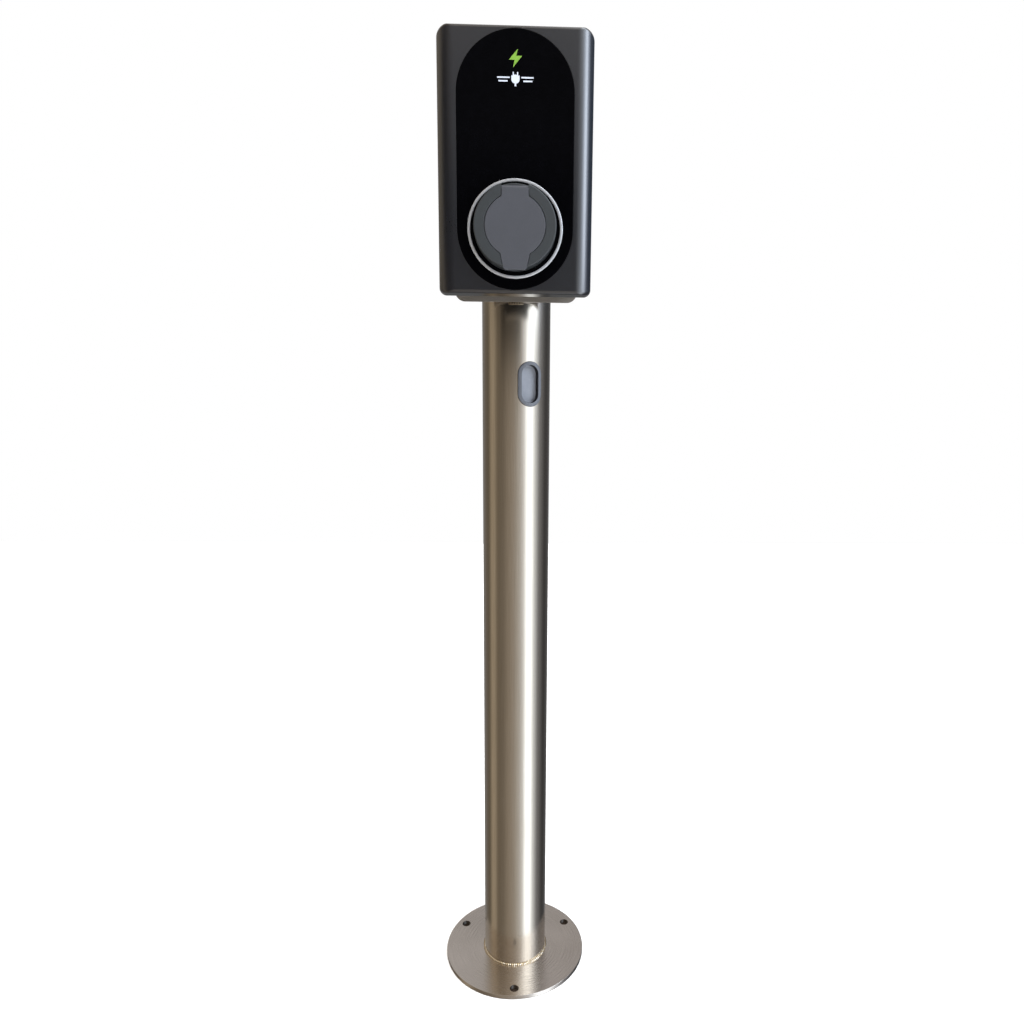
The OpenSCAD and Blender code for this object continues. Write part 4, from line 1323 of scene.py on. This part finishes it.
@dataclass
class Inlet:
    """The socket and its lid, drawn as loops round the socket's axis.

    Attributes:
        radius: Outer radius of the housing.
        flange: Radius of the flange behind the cover.
        proud: Distance that the housing stands out of the front face.
        lid_radius: Radius of the lid's round part.
        tab: Half width of the hinge tab.
        hinge_rise: Height of the hinge's axis above the socket's axis.
        gap: Gap between the lid and its recess.
        thick: Thickness of the lid.
        mouth: Radius of the bore for the plug.
        flat_rise: Height of the flat at the bore's top.
        lock_depth: Place of the lock bolt along the bore.
        lock_window: Half size of the window that the lock bolt passes through.
    """

    radius: float = 50.8
    flange: float = 61.0
    proud: float = 19.5
    lid_radius: float = 37.3
    tab: float = 16.5
    hinge_rise: float = 43.0
    gap: float = 0.6
    thick: float = 3.5
    mouth: float = 32.0
    flat_rise: float = 27.5
    lock_depth: float = -22.0
    lock_window: float = 3.0

    def __post_init__(self) -> None:
        """Sets the turns at which every loop has a point: even steps, and pairs at step walls."""
        tab_turn = math.asin(min((self.tab + self.gap) / self.radius, 1.0))
        notch_turn = math.asin((14.4 + self.gap) / self.radius)
        walls = np.array([math.pi / 2 - tab_turn, math.pi / 2 + tab_turn,
                          1.5 * math.pi - notch_turn, 1.5 * math.pi + notch_turn])
        even = np.linspace(0, FULL_TURN, 480, endpoint=False)
        near = np.abs(even[:, None] - walls[None]).min(1) > 0.004
        self.turn = np.sort(np.concatenate([even[near], walls - 0.0006, walls + 0.0006]))
        self.walls = walls

    def lid_edge(self, grow: float = 0.0) -> Array:
        """Gives the lid's outline as radius against turn, grown by some mm.

        It is the farthest of three shapes along each direction: the round part, the hinge tab
        (half width over cosine, or rise over sine) and the finger tab below, whose polygon is read
        between its corners. A short running mean gives the inner corners their fillets.

        Args:
            grow: Distance to grow by.

        Returns:
            One radius for each turn.
        """
        side, rise = np.cos(self.turn), np.sin(self.turn)
        width = self.tab + grow
        tab = np.minimum(width / np.maximum(np.abs(side), 1e-6),
                         self.hinge_rise / np.maximum(rise, 1e-6))
        tab = np.where(rise > 0.2, tab, 0)
        tip = self.radius + 1.2 + grow
        arc = np.linspace(0, math.pi / 2, 9)
        bend = 2.5 + grow
        corner = np.stack([12 + bend * np.cos(arc), -(tip - bend) - bend * np.sin(arc)], -1)
        right = np.vstack([[18 + grow, -30.3], [17.6 + grow, -36.3], [14.4 + grow, -49.5], corner])
        dense = np.vstack([np.linspace(a, b, 20) for a, b in zip(right[:-1], right[1:])]
                          + [np.linspace(right[-1], [0, -tip], 20)])
        both = np.vstack([dense, dense[::-1] * [-1, 1]])
        angle = np.arctan2(both[:, 1], both[:, 0]) % FULL_TURN
        order = np.argsort(angle)
        finger = np.interp(self.turn, angle[order], np.hypot(*both[order].T), left=0, right=0)
        edge = np.maximum(np.maximum(tab, finger), self.lid_radius + grow)
        padded = np.concatenate([edge[-3:], edge, edge[:3]])
        kernel = np.array([1, 2, 3, 4, 3, 2, 1]) / 16
        return np.convolve(padded, kernel, "valid")

    def loop(self, radius: Array | float, forward: Array | float) -> Array:
        """Places one loop round the socket's axis from a radius and a forward distance."""
        return from_socket(np.asarray(radius, float), self.turn, np.asarray(forward, float))

    def build(self) -> None:
        """Makes the housing and the lid."""
        self.housing()
        self.lid()
        for row in SOFT_INLET:
            softened(*row)

    def housing(self) -> None:
        """Makes the housing: one closed shell of loops, outside, over the rim, and into the bore.

        The rim drops to the recess floor inside the finger notch, and to the hinge pocket's floor
        inside the hinge's turns. The recess follows the lid's outline grown by the gap.
        """
        hinge = (self.turn > self.walls[0]) & (self.turn < self.walls[1])
        notch = (self.turn > self.walls[2]) & (self.turn < self.walls[3])
        floor = self.proud - self.thick - 2
        pocket = self.proud - 7.7
        top = np.where(notch, floor, np.where(hinge, pocket, self.proud))
        out = self.radius
        edge = np.minimum(self.lid_edge(self.gap), np.where(notch | hinge, out - 1.7, out - 1.2))
        ease = [(1 - math.cos(a), 1 - math.sin(a)) for a in np.linspace(0, math.pi / 2, 7)]
        rows = [self.loop(radius, forward) for radius, forward in (
            (self.flange, -14), (self.flange, -10), (out + 0.4, -10), (out, -9.6), (out, 0),
            (out, np.minimum(top - 2, self.proud - 2)))]
        rows += [self.loop(out - 1.5 * a, top - 1.5 * b) for a, b in ease]
        lip = 0.35
        rim_in = np.maximum(edge + lip, 0)
        rows += [self.loop(np.minimum(rim_in + 0.3, out - 1.5), top),
                 self.loop(np.minimum(rim_in, out - 1.5), top),
                 self.loop(np.minimum(edge + lip * 0.3, out - 1.55), top - lip * 0.3),
                 self.loop(np.minimum(edge, out - 1.6), top - lip)]
        base = np.minimum(floor, top - lip)
        rise = np.sin(self.turn)
        mouth = np.where(rise > 0.2, np.minimum(self.mouth, self.flat_rise / np.maximum(rise, 0.2)),
                         self.mouth)
        inner = np.minimum(edge, out - 1.6)
        under = np.where(hinge & (edge > 41.5), 39.0, inner)
        rows += [self.loop(inner, np.where(hinge, pocket - lip, base)),
                 self.loop(under - 0.3, np.where(hinge, pocket - lip, base)),
                 self.loop(np.minimum(under, 38.6) - 0.4, np.where(hinge, floor, base)),
                 self.loop(mouth + 0.8, floor), self.loop(mouth + 0.2, floor - 0.25),
                 self.loop(mouth, floor - 0.8), self.loop(mouth, 0)]
        near, far = self.lock_depth + self.lock_window, self.lock_depth - self.lock_window
        inlet_row = len(rows)
        rows += [self.loop(mouth, near), self.loop(mouth, far), self.loop(mouth, -27.6),
                 self.loop(mouth - 0.4, -28), self.loop(15, -28)]
        front = [*rows, pole(rows[-1])]
        back = [self.loop(radius, forward) for radius, forward in (
            (15, -32), (36, -32), (36, far), (36, near), (36, -14), (38, -13.8), (38, 9),
            (47.6, 9), (47.6, -14), (self.flange, -14))]
        back = [pole(back[0]), *back]
        sheets = self.lock_passage(closed(np.stack(front)), inlet_row, closed(np.stack(back)), 3)
        settle(evened(skin("socket_housing", sheets, 35)), "socket_grey", "socket_body")

    def lock_passage(self, inner: Array, inner_row: int, outer: Array, outer_row: int
                     ) -> list[Array]:
        """Opens a window for the lock bolt through the bore's upper wall.

        Both sheets lose the same run of columns between two rows, and four strips join the two
        openings. The outer sheet runs from the back to the front, the inner one the other way.

        Args:
            inner: The sheet with the bore's wall.
            inner_row: Its first row at the window.
            outer: The sheet round the bore's wall.
            outer_row: Its first row at the window, counted with the pole.

        Returns:
            The sheets with the window, and the window's walls.
        """
        reach = math.atan2(self.lock_window, self.flat_rise)
        first = int(np.argmin(np.abs(self.turn - (math.pi / 2 - reach))))
        last = int(np.argmin(np.abs(self.turn - (math.pi / 2 + reach))))
        sheets = []
        for sheet, row in ((inner, inner_row), (outer, outer_row)):
            sheets += [sheet[:row + 1], sheet[row + 1:], sheet[row:row + 2, :first + 1],
                       sheet[row:row + 2, last:]]
        mouth = inner[inner_row:inner_row + 2, first:last + 1]
        rear = outer[outer_row:outer_row + 2, first:last + 1][::-1]
        sheets += [np.stack([mouth[row], rear[row]]) for row in (0, 1)]
        sheets += [np.stack([mouth[:, side], rear[:, side]]) for side in (0, -1)]
        return sheets

    def lid(self) -> None:
        """Makes the lid: an eased plate, a step across the hinge tab, and the hinge barrel."""
        edge = self.lid_edge()
        back, front = self.proud - self.thick, self.proud
        rise = np.sin(self.turn)

        def cut(inset: float, forward: float) -> Array:
            """One loop of the plate, kept below the hinge's axis."""
            radius = edge - inset
            limit = np.where(rise > 0.5, (self.hinge_rise - 0.2) / np.maximum(rise, 0.5), 1e3)
            return self.loop(np.minimum(radius, limit), forward)

        ease = [(0.8 * (1 - math.sin(a)), 0.8 * (1 - math.cos(a)))
                for a in np.linspace(0, math.pi / 2, 6)]
        rows = [cut(0.4, back), cut(0.0, back + 0.35)]
        rows += [cut(b, front - a) for a, b in ease]
        rows += [cut(1.1, front), self.loop(np.minimum(edge - 1.1, 33.0), front),
                 self.loop(20.0, front), self.loop(6.0, front)]
        plate = stack(rows, caps=True)
        axis_y, axis_z = FRONT_Y - self.proud + 3.5, SOCKET_Z + self.hinge_rise

        def along_hinge(radius: Array, turn: Array, x: Array) -> Array:
            """Places points round the hinge's axis: Y and Z from radius and turn, X as given."""
            radius, turn, x = np.broadcast_arrays(radius, turn, x)
            return np.stack([x, axis_y + radius * np.cos(turn), axis_z + radius * np.sin(turn)], -1)

        barrel = rounded_profile([(1.6, -self.tab, 0.15), (3.5, -self.tab, 0.4),
                                  (3.5, self.tab, 0.4), (1.6, self.tab, 0.15)], 4)
        sheets = [plate, revolve(barrel, along_hinge, 56)]
        settle(evened(skin("hinged_lid", sheets, 30)), "lid_grey", "socket_lid", "lid")


@dataclass
class Inside:
    """The pieces that keep their CAD meshes: each takes the finish of its record slot.

    Attributes:
        stood_for: The CAD nodes that a new piece stands for.
    """

    stood_for: set[str]

    def build(self) -> None:
        """Dresses every CAD node that no new piece stands for."""
        slots = {row["node"]: row["material_slot"] for row in frame["record"]["subparts"]}
        for node, piece in frame["nodes"].items():
            if node in self.stood_for or node not in slots:
                continue
            dress(piece, node, slots[node])
            LOG.info("kept %s in %s", node, slots[node])


# ---------------------------------------------------------------- light, floor and camera

@dataclass(frozen=True)
class Band:
    """One stretch of the room seen in the steel: its bearing from the front and its light.

    Attributes:
        bearing: Degrees from the front, positive to the right.
        red: Linear red.
        green: Linear green.
        blue: Linear blue.
    """

    bearing: float
    red: float
    green: float
    blue: float


ROOM: tuple[Band, ...] = tuple(Band(*row) for row in (
    (-180, 0.13, 0.13, 0.13), (-150, 0.27, 0.26, 0.25), (-128, 0.20, 0.17, 0.14),
    (-108, 0.15, 0.125, 0.09), (-92, 0.50, 0.41, 0.30), (-80, 0.47, 0.39, 0.29),
    (-66, 0.21, 0.17, 0.125), (-46, 0.24, 0.20, 0.155), (-25, 0.38, 0.32, 0.255),
    (-6, 0.46, 0.405, 0.345), (12, 0.66, 0.63, 0.59), (28, 1.02, 1.03, 1.05),
    (38, 2.3, 2.45, 2.6), (58, 2.3, 2.45, 2.6), (68, 0.95, 1.0, 1.05),
    (90, 0.22, 0.22, 0.23), (120, 0.06, 0.058, 0.06), (140, 0.08, 0.08, 0.085),
    (160, 0.22, 0.22, 0.23), (180, 0.13, 0.13, 0.13)))
UPPER_ROOM: tuple[Band, ...] = tuple(Band(*row) for row in (
    (-180, 0.10, 0.10, 0.10), (-150, 0.12, 0.11, 0.10), (-138, 0.28, 0.24, 0.19),
    (-98, 0.34, 0.29, 0.22), (-86, 0.14, 0.12, 0.10), (-76, 0.02, 0.02, 0.02),
    (-54, 0.02, 0.02, 0.02), (-44, 0.24, 0.22, 0.20), (-20, 0.42, 0.41, 0.42),
    (14, 0.45, 0.45, 0.47), (38, 0.6, 0.64, 0.72), (52, 2.2, 2.5, 3.0),
    (61, 5.8, 6.4, 7.4), (74, 5.8, 6.4, 7.4), (84, 1.3, 1.5, 1.9),
    (100, 0.08, 0.11, 0.16), (140, 0.05, 0.07, 0.10), (180, 0.10, 0.10, 0.10)))
HIGH_ROOM: tuple[Band, ...] = tuple(Band(*row) for row in (
    (-180, 0.60, 0.57, 0.555), (-160, 0.70, 0.68, 0.66), (-125, 0.70, 0.67, 0.64),
    (-108, 0.60, 0.52, 0.42), (-92, 0.85, 0.70, 0.52), (-80, 0.80, 0.66, 0.49),
    (-66, 0.42, 0.34, 0.25), (-46, 0.48, 0.40, 0.31), (-25, 0.68, 0.57, 0.45),
    (-6, 0.84, 0.73, 0.62), (12, 1.2, 1.14, 1.06), (28, 1.9, 1.92, 1.96),
    (38, 4.1, 4.35, 4.6), (58, 4.1, 4.35, 4.6), (68, 1.7, 1.8, 1.9),
    (95, 0.50, 0.50, 0.51), (125, 0.50, 0.47, 0.46), (160, 0.48, 0.445, 0.435),
    (180, 0.60, 0.57, 0.555)))


@dataclass
class Studio:
    """Floor, light and camera.

    Attributes:
        lens: Focal length for a 36 mm sensor, in mm.
        shift: Sideways and upward shift of the view.
        place: The camera's place, in metres.
        axes: The camera's right, up and backward directions.
        clip: Nearest and farthest distance that the camera sees, in metres.
        climb: Heights of a ray between which the lower ring of bands gives way to the upper one.
        over: Heights between which the upper ring gives way to the high one.
        patch_bearing: Bearing of the dark patch's middle, in degrees.
        patch_reach: Half widths of its dark part and of its whole, in degrees.
        patch_foot: Heights between which it sets in.
        patch_top: Heights between which it fades to its rest.
        patch_rest: How much of it is left above those.
        patch_light: Part of the room's light that its darkest part keeps.
        floor_size: Half width of the floor, in metres.
        floor_drop: How far the floor lies under the foot plate, in metres.
        shaded_ground_radius: Radius of the painted shade on the ground under the foot plate, in
            metres.
    """

    lens: float = 25.411
    shift: tuple[float, float] = (-0.03682, 0.01821)
    place: tuple[float, float, float] = (0.0117, -1.1158, 0.8957)
    axes: tuple[tuple[float, float, float], ...] = (
        (0.999332, -0.035317, 0.009391), (-0.003818, 0.154678, 0.987958),
        (-0.036344, -0.987333, 0.154440))
    clip: tuple[float, float] = (0.02, 60.0)
    climb: tuple[float, float] = (0.15, 0.185)
    over: tuple[float, float] = (0.44, 0.54)
    patch_bearing: float = -18.0
    patch_reach: tuple[float, float] = (26.0, 44.0)
    patch_foot: tuple[float, float] = (0.05, 0.12)
    patch_top: tuple[float, float] = (0.24, 0.37)
    patch_rest: float = 0.42
    patch_light: float = 0.01
    floor_size: float = 4.0
    floor_drop: float = 0.0005
    # Painted shade: the floor is dark brown within this radius of the post.
    shaded_ground_radius: float = 0.1145

    def build(self) -> None:
        """Sets the camera, the room's light and the floor."""
        self.camera()
        self.room()
        self.floor()
        self.lamps()
        bpy.context.scene.view_settings.view_transform = "Standard"
        bpy.context.scene.view_settings.look = "None"

    def camera(self) -> None:
        """Makes the camera from its axes, made square to one another, and its place."""
        columns = np.array(self.axes).T
        u, _, v = np.linalg.svd(columns)
        square = u @ v
        data = bpy.data.cameras.new("view")
        data.lens, data.sensor_width = self.lens, 36.0
        data.shift_x, data.shift_y = self.shift
        data.clip_start, data.clip_end = self.clip
        made = linked("view", data)
        whole = np.eye(4)
        whole[:3, :3], whole[:3, 3] = square, self.place
        made.matrix_world = Matrix(whole.tolist())
        bpy.context.scene.camera = made

    def room(self) -> None:
        """Makes the room's light: plain white to the eye, and bands by bearing for everything else.

        The bearing is the arc tangent of X over minus Y. Three rings of bands follow one another as
        the ray climbs, and the height is the ray's upward part. A dark patch hangs in front at the
        height that the black fascia mirrors, so that it stays black.
        """
        world = bpy.data.worlds.new("studio")
        bpy.context.scene.world = world
        tree = fresh_tree(world)
        ray = add_node(tree, "TexCoord").outputs["Generated"]
        x, y, height = add_node(tree, "SeparateXYZ", {0: ray}).outputs
        bearing = calc(tree, "ARCTAN2", x, calc(tree, "MULTIPLY", y, -1.0))
        along = ranged(tree, bearing, -math.pi, math.pi)
        lower, upper, high = [self.bands(tree, along, rows)
                              for rows in (ROOM, UPPER_ROOM, HIGH_ROOM)]
        climb = ranged(tree, height, *self.climb, smooth=True)
        over = ranged(tree, height, *self.over, smooth=True)
        walls = blend(tree, "VECTOR", over, blend(tree, "VECTOR", climb, lower, upper), high)
        aside = calc(tree, "ADD", bearing, -math.radians(self.patch_bearing))
        near, far = [math.radians(angle) for angle in self.patch_reach]
        patch = ranged(tree, height, *self.patch_foot, smooth=True)
        for part in (ranged(tree, height, *self.patch_top, 1.0, self.patch_rest, smooth=True),
                     ranged(tree, calc(tree, "ABSOLUTE", aside), near, far, 1.0, 0.0, smooth=True),
                     calc(tree, "SUBTRACT", 1.0, over)):
            patch = calc(tree, "MULTIPLY", patch, part)
        dim = ranged(tree, patch, 0.0, 1.0, 1.0, self.patch_light)
        lit = add_node(tree, "Background", {0: walls, 1: dim})
        plain = add_node(tree, "Background", {0: (1, 1, 1, 1), 1: 1.0})
        seen = add_node(tree, "LightPath").outputs["Is Camera Ray"]
        both = add_node(tree, "MixShader", {0: seen, 1: lit.outputs[0], 2: plain.outputs[0]})
        add_node(tree, "OutputWorld", {0: both.outputs[0]})

    @staticmethod
    def bands(tree: Tree, along: Socket, rows: Sequence[Band]) -> Socket:
        """Makes light by bearing: a ramp whose brightest stop is 1, brought back to its real light.

        Args:
            tree: The room's node tree.
            along: The bearing, from 0 to 1 over a full turn.
            rows: The stops, in order of bearing.

        Returns:
            The socket that holds the light.
        """
        peak = max(max(row.red, row.green, row.blue) for row in rows)
        ramp = add_node(tree, "ValToRGB", {0: along})
        ramp.color_ramp.interpolation = "EASE"
        stops = ramp.color_ramp.elements
        while len(stops) > 1:
            stops.remove(stops[-1])
        for number, row in enumerate(rows):
            spot = (row.bearing + 180) / 360
            stop = stops[0] if number == 0 else stops.new(spot)
            stop.position = spot
            stop.color = (row.red / peak, row.green / peak, row.blue / peak, 1)
        return add_node(tree, "VectorMath", {"operation": "SCALE", 0: ramp.outputs[0],
                                             "Scale": peak}).outputs[0]

    def floor(self) -> None:
        """Makes a plain pale floor that casts no reflection into the steel.

        Under the foot plate it is painted dark brown: painted shade seen through the anchor holes.
        """
        mesh = bpy.data.meshes.new("floor")
        corners = [(x * self.floor_size, y * self.floor_size, -self.floor_drop)
                   for x, y in ((-1, -1), (1, -1), (1, 1), (-1, 1))]
        mesh.from_pydata(corners, [], [(0, 1, 2, 3)])
        floor = linked("floor", mesh)
        matt = bpy.data.materials.new("pale_floor")
        tree = fresh_tree(matt)
        spot = object_spot(tree)
        speck = add_node(tree, "TexNoise", {"Scale": 3.0, "Vector": spot}).outputs[0]
        tone = blend(tree, "RGBA", speck, linear("#f8f8f8"), linear("#fcfcfc"))
        # Painted shade: inside this radius the floor is dark brown.
        out = calc(tree, "GREATER_THAN", calc(tree, "LENGTH", spot, vector=True), self.shaded_ground_radius)
        shader = add_node(tree, "BsdfPrincipled", {
            "Roughness": 0.9, "Base Color": blend(tree, "RGBA", out, linear("#2c221a"), tone)})
        add_node(tree, "OutputMaterial", {0: shader.outputs[0]})
        mesh.materials.append(matt)
        floor.visible_glossy = False

    def lamps(self) -> None:
        """Lights everything from straight above, wide and soft and unseen in the steel."""
        data = bpy.data.lights.new("overhead", "SUN")
        data.energy, data.angle = 2.9, math.radians(75)
        lamp = linked("overhead", data)
        lamp.visible_glossy = lamp.visible_camera = False


def main() -> None:
    """Builds the post, charger, socket, inside and studio; logs face counts and the nodes stood for.
    """
    logging.basicConfig(level=logging.INFO, format="%(name)s: %(message)s")
    for part in (Post(), Charger(), Inlet()):
        part.build()
    stood_for = {node for piece in bpy.context.scene.objects
                 for node in piece.get("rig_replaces", [])}
    Inside(stood_for).build()
    Studio().build()
    LOG.info("new pieces stand for %d CAD nodes", len(stood_for))


if __name__ == "__main__":
    main()
